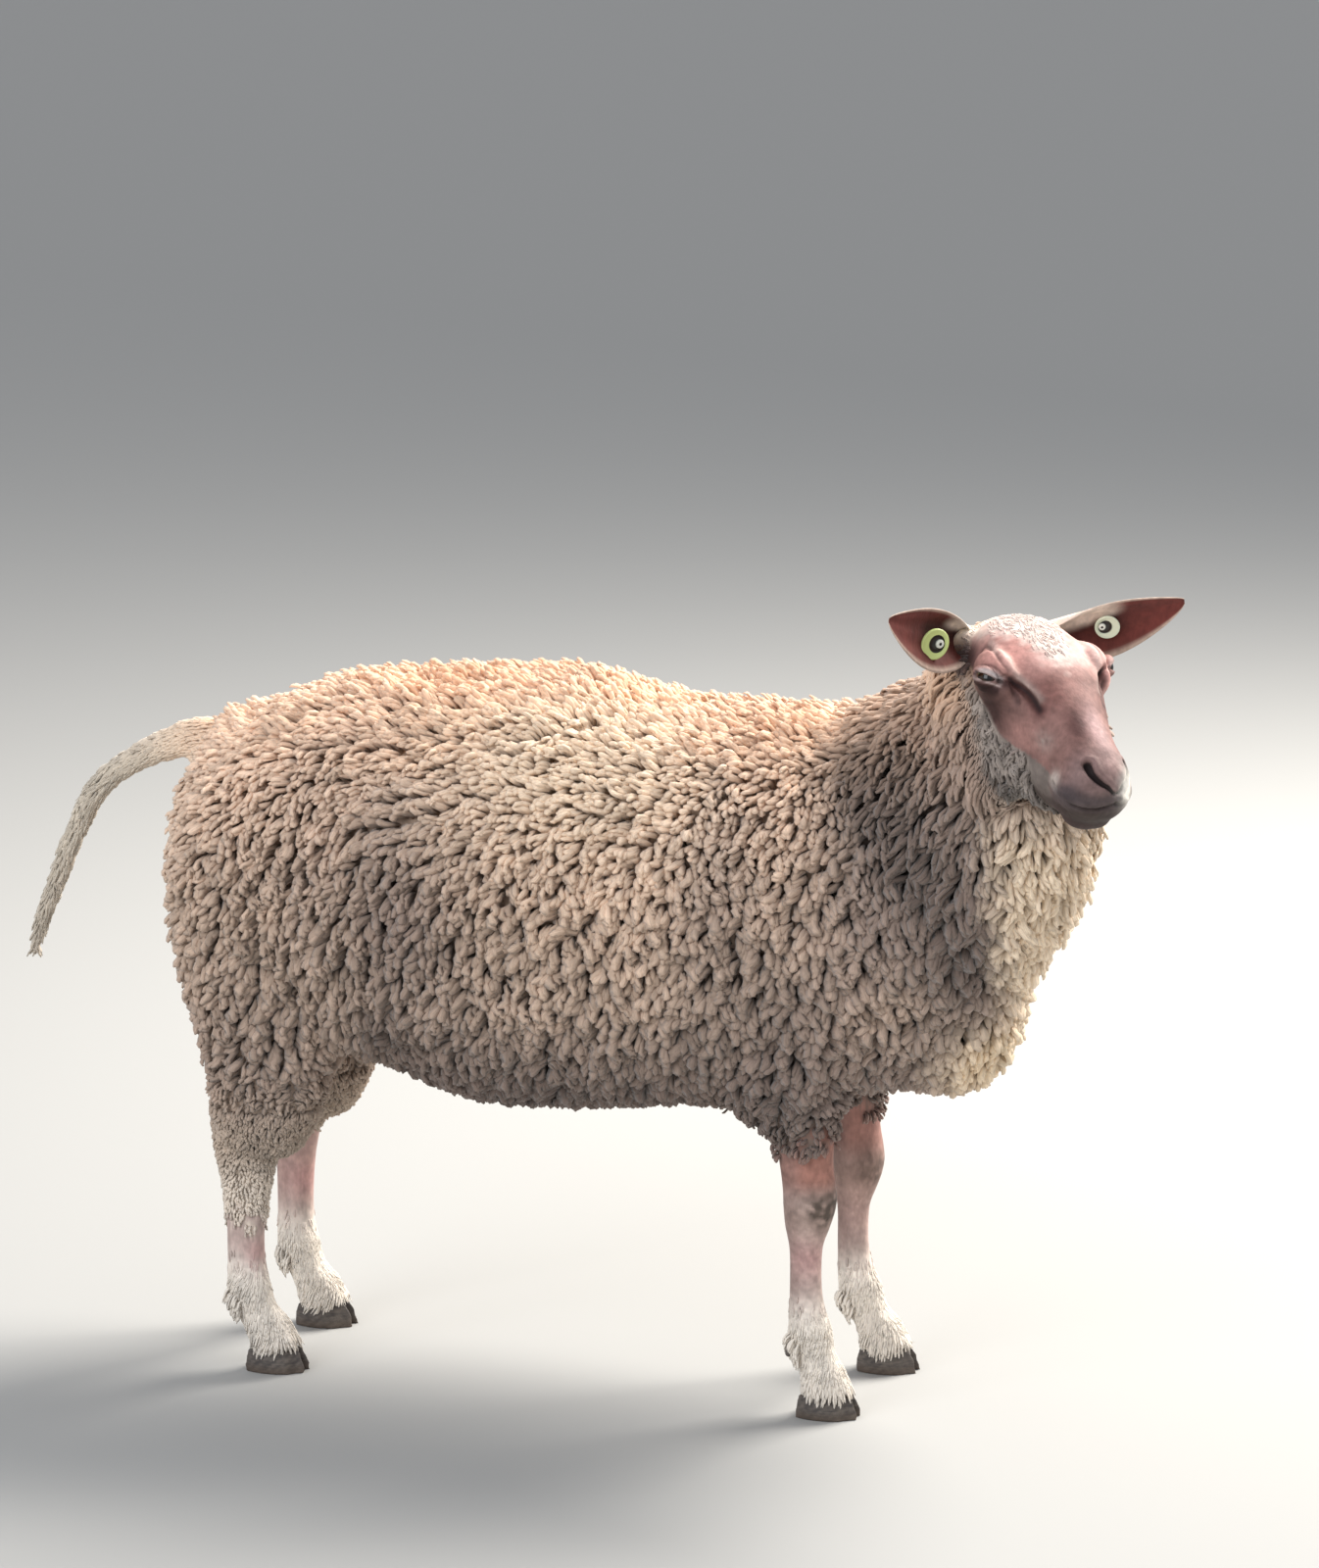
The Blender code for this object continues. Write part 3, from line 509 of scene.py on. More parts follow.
def thin_body(skin):
    """Far fewer faces under the wool, and fewer on the smooth legs; the head keeps its own."""
    for kept_share, legs in ((0.03, False), (0.45, True)):
        p = points_of(skin) - BODY_ORIGIN
        h = to_head(points_of(skin))
        fewer = (h[:, 0] < -0.01) & ((p[:, 2] < 0.30) == legs)
        group = skin.vertex_groups.new(name="fewer")
        group.add(np.flatnonzero(fewer).tolist(), 1.0, "REPLACE")
        kept = (~fewer).mean()
        step = skin.modifiers.new("thin", "DECIMATE")
        step.ratio = float(kept + (1 - kept) * kept_share)
        step.vertex_group = "fewer"
        bake(skin)
        skin.vertex_groups.clear()


# Creases and ridges of the face, in head coordinates of the left side.
FOLDS = {
    "brow": [
        (0.0579, 0.0600, 0.0800), (0.0556, 0.0520, 0.0913), (0.0590, 0.0473, 0.0955),
        (0.0746, 0.0493, 0.0943), (0.0996, 0.0538, 0.0940), (0.1167, 0.0511, 0.0862),
    ],
    "tear": [
        (0.1170, 0.0533, 0.0845), (0.1223, 0.0470, 0.0799), (0.1312, 0.0425, 0.0748),
        (0.1413, 0.0388, 0.0704), (0.1534, 0.0358, 0.0626),
    ],
    "wedge": [(0.1207, 0.0525, 0.0797), (0.1265, 0.0480, 0.0695), (0.1349, 0.0471, 0.0605)],
    "ridge": [
        (0.0605, 0.0446, 0.0987), (0.0873, 0.0477, 0.0969), (0.1106, 0.0470, 0.0925),
        (0.1231, 0.0433, 0.0839), (0.1366, 0.0370, 0.0774), (0.1486, 0.0321, 0.0716),
    ],
    "nostril": [
        (0.2235, 0.0238, 0.0321), (0.2305, 0.0225, 0.0245), (0.2356, 0.0175, 0.0178),
        (0.2388, 0.0091, 0.0118), (0.2390, 0.0030, 0.0050),
    ],
    "mouth": [
        (0.1960, 0.0365, 0.0050), (0.2030, 0.0362, 0.0008), (0.2142, 0.0354, -0.0035),
        (0.2266, 0.0318, -0.0080), (0.2354, 0.0254, -0.0092), (0.2382, 0.0143, -0.0080),
        (0.2390, 0.0000, -0.0040),
    ],
}
PATHS = {}
SCULPT_PASSES = 2
NOSE_BEND = 0.010


def face_points(points):
    """Head coordinates on the left side, with the nose's middle line bent a little to the ewe's left."""
    h = to_head(points)
    bend = NOSE_BEND * ramp(h[:, 0], 0.17, 0.235) * np.clip(1 - (h[:, 1] / 0.036) ** 2, 0, 1)
    h[:, 1] = np.abs(h[:, 1] - bend)
    return h


def sculpt_depth(points):
    """How far each point of the skin is raised: folds, grooves and ridges added as bell curves."""
    h = face_points(points)
    rise = np.zeros(len(points))
    face = on_face(h)
    q = h[face]
    lift = np.zeros(len(face))
    gap, along = gap_to(q, PATHS["ridge"])
    lift += 0.0019 * bell(gap, 0.0054) * (1 - 0.3 * along) * ramp(along, 0.0, 0.15)
    gap, along = gap_to(q, PATHS["brow"])
    lift -= 0.0030 * bell(gap, 0.0026) * np.sin(math.pi * (0.12 + 0.88 * along)) ** 0.5
    gap, along = gap_to(q, PATHS["tear"])
    lift -= 0.0078 * bell(gap, 0.0030 + 0.0026 * along) * np.sin(math.pi * (0.20 + 0.78 * along)) ** 0.6
    gap, along = gap_to(q, PATHS["wedge"])
    lift -= 0.0026 * bell(gap, 0.0026) * np.sin(math.pi * (0.15 + 0.85 * along)) ** 0.5
    gap, along = gap_to(q, PATHS["nostril"])
    lift -= 0.0080 * bell(gap, 0.0038 - 0.0020 * along) * (1 - 0.50 * along)
    lift += 0.0012 * bell(gap - 0.0070, 0.0028) * (1 - 0.6 * along)
    gap, along = gap_to(q, PATHS["mouth"])
    lift -= 0.0034 * bell(gap, 0.0017)
    upper = q[:, 2] > -0.006
    lift += np.where(upper, 0.0016, 0.0008) * bell(gap - 0.0055, 0.0035)
    philtrum = bell(q[:, 1], 0.0016) * ramp(q[:, 0], 0.228, 0.236)
    lift -= 0.0014 * philtrum * ramp(q[:, 2], -0.008, 0.000) * (1 - ramp(q[:, 2], 0.005, 0.010))
    lift -= 0.0034 * spot(q, (0.165, 0.036, 0.024), (0.028, 0.03, 0.016))  # hollow beside the nose
    lift -= 0.0030 * spot(q, (0.056, 0.058, 0.060), (0.014, 0.02, 0.014))  # temple
    lift += 0.0016 * spot(q, (0.110, 0.052, 0.018), (0.030, 0.02, 0.010))  # edge of the jaw
    rise[face] = lift
    return rise + leg_sculpt(points)


def leg_sculpt(points):
    """Tendons, knee pad and coronet of each bare leg, as bell curves about its centre line."""
    p = points - BODY_ORIGIN
    rise = np.zeros(len(points))
    for end, side in LEGS:
        keys = np.array(leg_keys(end, side))
        on_side = (p[:, 2] < 0.30) & (np.sign(p[:, 1]) == SIDES[side])
        near = np.flatnonzero(on_side & (np.abs(p[:, 0] - keys[:, 0].mean()) < 0.10))
        q = p[near]
        order = np.argsort(keys[:, 2])
        mid = np.interp(q[:, 2], keys[order, 2], keys[order, 0])
        turn = np.arctan2(np.abs(q[:, 1] - keys[0, 1]), q[:, 0] - mid)
        cannon = ramp(q[:, 2], 0.098, 0.112) * (1 - ramp(q[:, 2], 0.176, 0.198))
        rise[near] -= 0.0020 * bell(turn - 1.95, 0.26) * cannon  # groove in front of the tendon
        rise[near] += 0.0008 * bell(turn - 2.75, 0.30) * cannon  # tendon
        cleft = bell(turn, 0.22) * (1 - ramp(q[:, 2], 0.028, 0.052))
        # the coronet, and the cleft through it
        rise[near] += 0.0010 * bell(q[:, 2] - 0.0275, 0.0035) - 0.0045 * cleft
        knee = bell(q[:, 2] - 0.226, 0.012) * bell(turn, 0.7)
        rise[near] += 0.0010 * knee * (end == "foreleg")
    return rise


# Half the slit between the lids, and how high and over what half width the folds above it arch.
SLIT_HALF = 0.0106
FOLD_RISE, FOLD_HALF = 0.0046, 0.0135


def fold_drop(a):
    """How much lower the folds over the eye lie, a along the slit, than over its middle: an arch."""
    return FOLD_RISE * (1 - np.clip(1 - (a / FOLD_HALF) ** 2, 0, 1))


def eye_axes(s):
    """The eye's own axes in the head: forward along the slit, up across it, and outwards."""
    out = unit(np.array((0.67, -0.61, 0.38) if s < 0 else (0.50, 0.80, 0.28)))
    along = np.array((0.83, -0.49 * s, -0.02 if s < 0 else 0.22))
    along = unit(along - out * (along @ out))
    up = np.cross(along, out) * s
    return along, up, out


def set_lids(points):
    """Lids round each eyeball: the skin follows the ball, and drops under it in an almond."""
    h = to_head(points)
    for s in SIDES.values():
        centre = EYE_IN_HEAD * (1, s, 1)
        along, up, out = eye_axes(s)
        d = h - centre
        a, b, c = d @ along, d @ up, d @ out
        reach = np.linalg.norm(d, axis=1)
        near = np.flatnonzero((reach < 0.030) & (c > -0.002))
        a, b, c, reach = a[near], b[near], c[near], reach[near]
        arch = np.clip(1 - (a / SLIT_HALF) ** 2, 0, 1)
        fold = b + fold_drop(a)
        top = 0.0013 * arch**0.75 + 0.0006
        low = -0.0027 * arch**0.85 + 0.0006
        inside = np.minimum(top - b, b - low)
        beyond = np.abs(a) - SLIT_HALF
        edge = np.where(beyond > 0, np.hypot(np.maximum(beyond, 0), b - 0.0006), -inside)
        lid = EYE_RADIUS + 0.0014 + 0.0007 * bell(edge - 0.0014, 0.0013)
        lid = lid + 0.0019 * bell(fold - 0.0058, 0.0032) - 0.0018 * bell(fold - 0.0116, 0.0016)
        lid = lid - 0.0016 * bell(b + 0.0082, 0.0020) + 0.0008 * bell(b + 0.0125, 0.0018)
        drop = EYE_RADIUS - 0.0025
        target = drop + (lid - drop) * ramp(edge, -0.0006, 0.0009)
        target = np.where(c > 0, target, reach)
        away = ramp(edge, 0.0070, 0.0135)
        wanted = target * (1 - away) + reach * away
        eased = np.maximum(wanted, reach * away + wanted * (1 - away))
        keep = np.where((away > 0) & (reach > wanted), eased, wanted)
        h[near] = centre + unit(d[near]) * keep[:, None]
    return from_head(h)


# --- ears ---------------------------------------------------------------------------------------

# Each ear's lift, swing back and turn about its own length, and how far its tip bends up.
EAR_LENGTH = 0.134
EAR_LIFT = {"right": math.radians(17), "left": math.radians(14)}
EAR_CURL = 0.014
EAR_SWING = {"right": math.radians(29), "left": math.radians(27)}
EAR_TILT = {"right": math.radians(-14), "left": math.radians(10)}
EAR_ROOT = np.array((0.006, 0.052, 0.085))
EAR_ROOT_REACH = 0.021


def ear_place(side, points):
    """Ear coordinates (hollow forward, length outward, edge up) in the row frame."""
    s = SIDES[side]
    turn = np.array(
        Matrix.Rotation(s * EAR_LIFT[side], 3, "X")
        @ Matrix.Rotation(-s * EAR_SWING[side], 3, "Z")
        @ Matrix.Rotation(EAR_TILT[side], 3, "Y")
    )
    return from_head(points @ turn.T + EAR_ROOT * (1, s, 1))


def ear_sheet(side, along, across):
    """The ear's middle sheet: an arc of radius half / roll, tight at the root and opening outwards."""
    half = 0.0315 * np.sin(math.pi * np.minimum(1.0, 0.16 + 0.84 * along) ** 0.80) ** 0.72 + 0.0030
    half = half * (1.0 - 0.22 * across)
    roll = 0.50 + 1.75 * (1 - along) ** 3.2
    bow = half / roll
    angle = across * roll
    side_step = bow * np.sin(angle) + EAR_CURL * along**2
    hollow = bow * (1 - np.cos(angle))
    return np.stack([hollow, SIDES[side] * EAR_LENGTH * along, side_step], axis=-1)


def make_ear(side):
    """A leaf, thick in the middle and thin at the rim: the sheet moved half its thickness each way."""
    rows, columns = 60, 34
    along = np.linspace(-0.03, 1.0, rows)[:, None] + np.zeros((1, columns))
    across = np.linspace(-1, 1, columns)[None] + np.zeros((rows, 1))
    sheet = ear_sheet(side, np.clip(along, 0, 1), across)
    sheet[..., 1] += SIDES[side] * EAR_LENGTH * np.minimum(along, 0)
    normal = unit(np.cross(np.gradient(sheet, axis=0), np.gradient(sheet, axis=1))) * SIDES[side]
    thick = 0.0013 * (1 - np.abs(across) ** 6) * (1 - np.clip(along, 0, 1) ** 8) + 0.0004
    thick = thick + 0.0006 * bell(across - 0.15, 0.12) * (1 - along)
    ripple = 0.0005 * np.sin(across * 9 + 5 * along) * np.sin(math.pi * np.clip(along, 0, 1))
    front = sheet + normal * (thick + ripple)[..., None]
    back = sheet - normal * (thick - ripple)[..., None]
    points = ear_place(side, np.concatenate([front, back[:, ::-1]], axis=1).reshape(-1, 3))
    thing = tube("ear_leaf_" + side, points, rows, columns * 2)
    shape = bmesh.new()
    shape.from_mesh(thing.data)
    bmesh.ops.triangulate(shape, faces=[face for face in shape.faces if len(face.verts) > 4])
    shape.to_mesh(thing.data)
    shape.free()
    across = np.concatenate([across, across[:, ::-1]], axis=1)
    along = np.concatenate([along, along], axis=1)
    inner = np.repeat([[1.0, 0.0]], columns, axis=1).repeat(rows, axis=0)
    return thing, ear_colour(side, along.ravel(), across.ravel(), inner.ravel(), points)


def ear_colour(side, along, across, inner, points):
    """Red inside with painted shade deep in the hollow near the root, pale back and rim, painted light
    along the upper edge of the far ear, and white hair along the upper edge of the root.
    """
    # painted shade deep in the hollow near the root
    hollow = bell(across - 0.1, 0.55) * (1 - ramp(along, 0.35, 0.85))
    inside = painted(plain(tint(108, 52, 46), len(points)), [(tint(46, 18, 16), 0.88 * hollow)])
    rim = ramp(np.abs(across), 0.80, 0.98)
    # painted light along the upper edge of the far ear: back colour and white instead of the red inside
    upper = ramp(across - 0.9 * along, -0.45, -0.05) * (1 - ramp(along, 0.36, 0.60)) * (side == "left")
    fuzz = (1 - ramp(along, 0.10, 0.30)) * ramp(across, 0.10, 0.45) * (1 if side == "right" else 0.8)
    layers = [
        (inside, inner * (1 - np.maximum(0.85 * rim, upper))),
        (WOOL_WHITE, 0.9 * np.maximum(fuzz, 0.7 * inner * upper)),
    ]
    tone = painted(plain(tint(206, 184, 168), len(points)), layers)
    return tone * (1 + 0.10 * wander(points, 0.012, 17))[:, None]


# --- colours ------------------------------------------------------------------------------------


def tint(red, green, blue):
    """A colour from 0 to 255 sRGB as linear values."""
    share = np.array((red, green, blue)) / 255
    return np.where(share < 0.04045, share / 12.92, ((share + 0.055) / 1.055) ** 2.4)


WOOL = tint(206, 180, 158)
WOOL_CREAM = tint(244, 224, 200)
WOOL_RUST = tint(246, 196, 154)
WOOL_PEACH = tint(244, 212, 186)
WOOL_GREY = tint(156, 136, 126)
WOOL_DARK = tint(128, 110, 102)
WOOL_WHITE = tint(248, 236, 222)


def held(colours):
    """Colours brought down to 1 where their strongest part is over it, so that their hue stays."""
    return np.maximum(colours, 0) / np.maximum(colours.max(axis=-1, keepdims=True), 1)


def plain(colour, count):
    """The same colour for every point."""
    return np.repeat(colour[None], count, axis=0)


def painted(colours, layers):
    """Colours with layers laid over them in turn. Each moves them its share of the way to its paint."""
    for paint, share in layers:
        colours = colours * (1 - share[:, None]) + paint * share[:, None]
    return colours


def patch_layers(points, patches, gain=1.2):
    """Layers of paint for soft patches: each is full in the middle and fades to nothing as a bell curve."""
    return [
        (tint(*paint), share * np.minimum(1, gain * spot(points, middle, radii)))
        for middle, radii, paint, share in patches
    ]


# The painted shadow of the head down the neck, in body coordinates with y to the ewe's right.
NECK_SHADE = [
    (0.249, 0.133, 0.669), (0.296, 0.152, 0.615), (0.334, 0.156, 0.560), (0.354, 0.145, 0.510),
    (0.362, 0.117, 0.470),
]


def wool_colour(points):
    """The fleece's colour by place: cream rump and chest, rust back, greyer belly, neck and shoulder, with
    painted shade in hollows, folds, partings, under the belly and down the neck, and painted light on chest
    and shoulder.
    """
    p, h = points - BODY_ORIGIN, to_head(points)
    right, x, z = p * (1, -1, 1), p[:, 0], p[:, 2]

    def patch(middle, radii, gain=1.0):
        return np.minimum(1, gain * spot(right, middle, radii))

    parting = crease_drop(points)
    hock = (1 - ramp(z, 0.235, 0.330)) * (x < -0.2)
    under = ramp(x, -0.30, -0.24) * (1 - ramp(x, 0.26, 0.32))
    chest = ramp(x + 0.25 * p[:, 1], 0.330, 0.375) * (1 - ramp(z, 0.60, 0.68))
    cheek = ramp(past(points, WOOL_X), -0.020, 0.004) * (1 - ramp(h[:, 2], 0.050, 0.075)) * (z > 0.55)
    # painted shade darkens the cheek hair under the jaw
    shade_under_jaw = 1 - 0.55 * ramp(-h[:, 2], 0.006, 0.026)
    cheek_hair = GREY_HAIR * (shade_under_jaw * (1 + 0.35 * wander(h, 0.018, 43, 14)))[:, None]
    tail = ramp(-x, 0.51, 0.57)
    haunch = ramp(-x, 0.28, 0.36) * patch((-0.40, 0.20, 0.52), (0.12, 0.14, 0.10))
    layers = [
        (WOOL_PEACH, ramp(z, 0.44, 0.66)),
        (WOOL_RUST, 0.60 * ramp(z, 0.62, 0.71) * (0.65 + 0.35 * wander(p, 0.16, 21))),
        (WOOL_CREAM, 0.9 * ramp(-x, 0.44, 0.56) * ramp(z, 0.40, 0.62)),  # rump
        (WOOL_GREY, 0.55 * (1 - ramp(z, 0.34, 0.52))),
        (WOOL_DARK * 0.75, 0.85 * (1 - ramp(z, 0.33, 0.45)) * under),  # painted shade under the belly
        (WOOL_GREY * 0.9, 0.40 * patch((-0.31, 0.20, 0.55), (0.035, 0.10, 0.10))),  # front of the thigh
        (tint(190, 172, 154), 0.90 * hock),
        (tint(244, 230, 214), 0.90 * hock * (1 - ramp(z, 0.190, 0.245))),
        (WOOL_GREY, 0.45 * patch((0.20, 0.16, 0.46), (0.12, 0.16, 0.14))),  # shoulder
        (WOOL_GREY * 0.9, 0.85 * ramp(x, 0.18, 0.27) * (1 - ramp(z, 0.72, 0.80))),  # neck
        # painted shadow of the head down the neck
        (WOOL_DARK * 0.48, 0.94 * bell(path_distance(right, NECK_SHADE)[0], 0.050)),
        (WOOL_DARK * 0.22, 0.92 * patch((-0.237, 0.19, 0.390), (0.036, 0.08, 0.036))),  # painted shade in the fold of the flank
        (WOOL_GREY, 0.60 * patch((0.110, 0.19, 0.60), (0.036, 0.12, 0.11))),  # behind the shoulder
        (WOOL_DARK * 0.45, 0.70 * patch((0.085, 0.19, 0.385), (0.014, 0.06, 0.040))),  # painted shade at the elbow
        (WOOL_DARK, 0.80 * patch((-0.212, 0.20, 0.525), (0.082, 0.14, 0.120))),  # painted shade in the flank hollow
        (WOOL * 1.05, 0.65 * patch((0.275, 0.15, 0.435), (0.050, 0.08, 0.050))),  # painted light on the point of the shoulder
        (WOOL_DARK * 0.8, 0.55 * patch((0.175, 0.19, 0.420), (0.060, 0.10, 0.050))),  # upper foreleg
        # painted shade in the partings of the wool
        (WOOL_DARK * 0.5, np.clip(1.5 * parting - 0.1, 0, 0.75)),
        # cream chest, brightened as painted light
        (tint(255, 233, 205), 0.97 * chest),
        (tint(255, 232, 200), 0.97 * patch((0.362, 0.045, 0.372), (0.042, 0.070, 0.042), 1.5)),  # brisket, cream brightened as painted light
        (WOOL_RUST, 0.5 * patch((0.20, 0, 0.74), (0.12, 0.2, 0.06))),  # withers
        (tint(255, 230, 202), 0.90 * patch((-0.030, 0.140, 0.660), (0.13, 0.085, 0.080), 1.3)),  # ribs
        (tint(214, 142, 92), 0.90 * patch((-0.15, 0.0, 0.745), (0.15, 0.14, 0.034))),  # loin
        (tint(214, 158, 124), 0.45 * patch((0.13, 0.0, 0.715), (0.06, 0.12, 0.05))),  # before the loin
        (WOOL_GREY * 0.8, 0.30 * haunch),
        (WOOL_WHITE * 0.93, ramp(h[:, 0], -0.03, 0.01) * ramp(h[:, 2], 0.07, 0.10)),  # poll
        (cheek_hair, 0.9 * cheek),
        (tint(180, 164, 150), 0.75 * tail * ramp(z, 0.58, 0.68)),
        (tint(204, 194, 178), 0.85 * tail * (1 - ramp(z, 0.60, 0.68))),
    ]
    cloudy = wander(p, 0.11, 5) * 0.6 + wander(p, 0.035, 6) * 0.4
    return held(painted(plain(WOOL, len(p)), layers) * (1 + 0.13 * cloudy)[:, None])


# Edges on the cheek: how far forward long wool, short curls and grey hair come at each height of the head.
EDGE_HEIGHT = (
    -0.060, -0.050, -0.029, -0.010, -0.002, 0.010, 0.0145, 0.0175, 0.0195, 0.0274, 0.0379, 0.0506,
    0.0573, 0.067, 0.078, 0.094, 0.106, 0.120,
)
WOOL_X = (
    0.140, 0.124, 0.113, 0.098, 0.096, 0.094, 0.0935, 0.093, 0.0925, 0.090, 0.085, 0.066, 0.048,
    0.040, 0.034, 0.014, 0.008, 0.004,
)
CURL_X = (
    0.176, 0.172, 0.164, 0.158, 0.156, 0.154, 0.150, 0.143, 0.128, 0.110, 0.0996, 0.0846, 0.070,
    0.054, 0.040, 0.020, 0.014, 0.010,
)
GREY_X = (
    0.300, 0.280, 0.200, 0.196, 0.192, 0.190, 0.160, 0.143, 0.128, 0.110, 0.0996, 0.0846, 0.070,
    0.054, 0.040, 0.020, 0.014, 0.010,
)


def past(points, edge_x):
    """How far in front of an edge on the cheek a point lies. It is negative behind the edge."""
    h = to_head(points)
    return h[:, 0] + 0.003 * wander(h, 0.02, 12) - np.interp(h[:, 2], EDGE_HEIGHT, edge_x)


def white_forehead(h):
    """1 on the white, curly patch from poll to brow, 0 off it, for face coordinates."""
    reach = np.hypot((h[:, 0] - 0.066) / 0.066, h[:, 1] / (0.044 - 0.016 * ramp(h[:, 0], 0.04, 0.09)))
    return (1 - ramp(reach + 0.14 * wander(h, 0.014, 14), 0.62, 1.12)) * ramp(h[:, 2], 0.078, 0.092)


def bare_share(points):
    """1 on the short-haired face, ears and lower legs, 0 on the wool."""
    p, h = points - BODY_ORIGIN, to_head(points)
    face = ramp(past(points, CURL_X), -0.003, 0.007) * (h[:, 2] > -0.065)
    ear = ramp(np.abs(h[:, 1]), 0.056, 0.068) * ramp(h[:, 2], 0.074, 0.082) * (h[:, 0] > -0.03)
    hind_top = np.where(p[:, 1] > 0, 0.222, 0.160)
    top = np.where(p[:, 0] > -0.1, 0.286, hind_top) + 0.016 * wander(p, 0.02, 42)
    leg = 1 - ramp(p[:, 2], top - 0.010, top + 0.010)
    tail = (p[:, 0] < -0.5) & (p[:, 2] < 0.5)
    return np.where(tail, 0.0, np.maximum(np.maximum(face, ear), leg))


SKIN = tint(131, 98, 92)
SKIN_PINK = tint(206, 152, 143)
SKIN_GREY = tint(120, 106, 106)
SKIN_DARK = tint(80, 60, 58)
SKIN_PALE = tint(222, 210, 200)
GREY_HAIR = tint(146, 136, 129)
LEG = tint(190, 168, 160)
LEG_PALE = tint(250, 241, 228)
LEG_RUST = tint(164, 112, 98)


# Soft patches of the face in head coordinates: middle, radii, colour in sRGB and share.
FACE_PATCHES = [
    ((0.187, -0.011, 0.056), (0.022, 0.010, 0.014), (84, 56, 54), 0.90),  # painted shade down the near side of the nose
    ((0.150, -0.024, 0.079), (0.022, 0.014, 0.014), (134, 84, 78), 0.45),  # red upper nose
    ((0.193, 0.008, 0.054), (0.030, 0.010, 0.020), (240, 204, 204), 0.40),  # painted highlight along the bridge of the nose
    ((0.102, 0.046, 0.094), (0.026, 0.016, 0.014), (238, 196, 188), 0.70),  # painted light on the far brow
    ((0.119, 0.058, 0.074), (0.014, 0.016, 0.014), (222, 170, 162), 0.80),  # painted light before the far eye
    ((0.104, -0.063, 0.044), (0.024, 0.026, 0.020), (52, 32, 30), 0.90),  # painted shade in the pouch under the near eye
    ((0.105, -0.068, 0.066), (0.015, 0.018, 0.009), (40, 20, 18), 0.90),  # painted shade at the edge of that pouch
    ((0.121, -0.058, 0.079), (0.007, 0.014, 0.006), (48, 24, 22), 0.92),  # painted shade in the front corner of the near eye
    ((0.120, -0.050, -0.002), (0.022, 0.024, 0.010), (206, 200, 194), 0.80),  # pale hair on the jaw
    ((0.153, -0.042, -0.008), (0.022, 0.030, 0.010), (84, 72, 70), 0.70),  # painted shade on the jaw before that hair
    ((0.117, 0.004, 0.101), (0.015, 0.024, 0.012), (244, 222, 216), 0.40),  # middle of the forehead
]
MUZZLE_PATCHES = [
    ((0.234, 0.024, 0.009), (0.012, 0.010, 0.018), (255, 250, 240), 0.98),  # far lip, made white as painted light
    ((0.231, 0.007, 0.030), (0.010, 0.010, 0.010), (226, 188, 182), 0.35),  # tip of the nose
    ((0.223, -0.032, 0.004), (0.016, 0.016, 0.009), (70, 60, 62), 0.90),  # grey near lip
    ((0.230, -0.014, -0.020), (0.024, 0.034, 0.013), (60, 50, 46), 0.90),  # chin
]
# The same on both sides, for face coordinates: painted shade low on the jaw, and in the creases at the
# roots of the ears.
THROAT_PATCH = [((0.150, 0.030, -0.028), (0.040, 0.050, 0.016), (62, 50, 44), 0.92)]
EAR_ROOT_PATCHES = [
    ((0.040, 0.064, 0.082), (0.019, 0.018, 0.015), (96, 70, 68), 0.92),
    ((0.035, 0.059, 0.071), (0.018, 0.015, 0.0105), (58, 38, 37), 0.90),
]


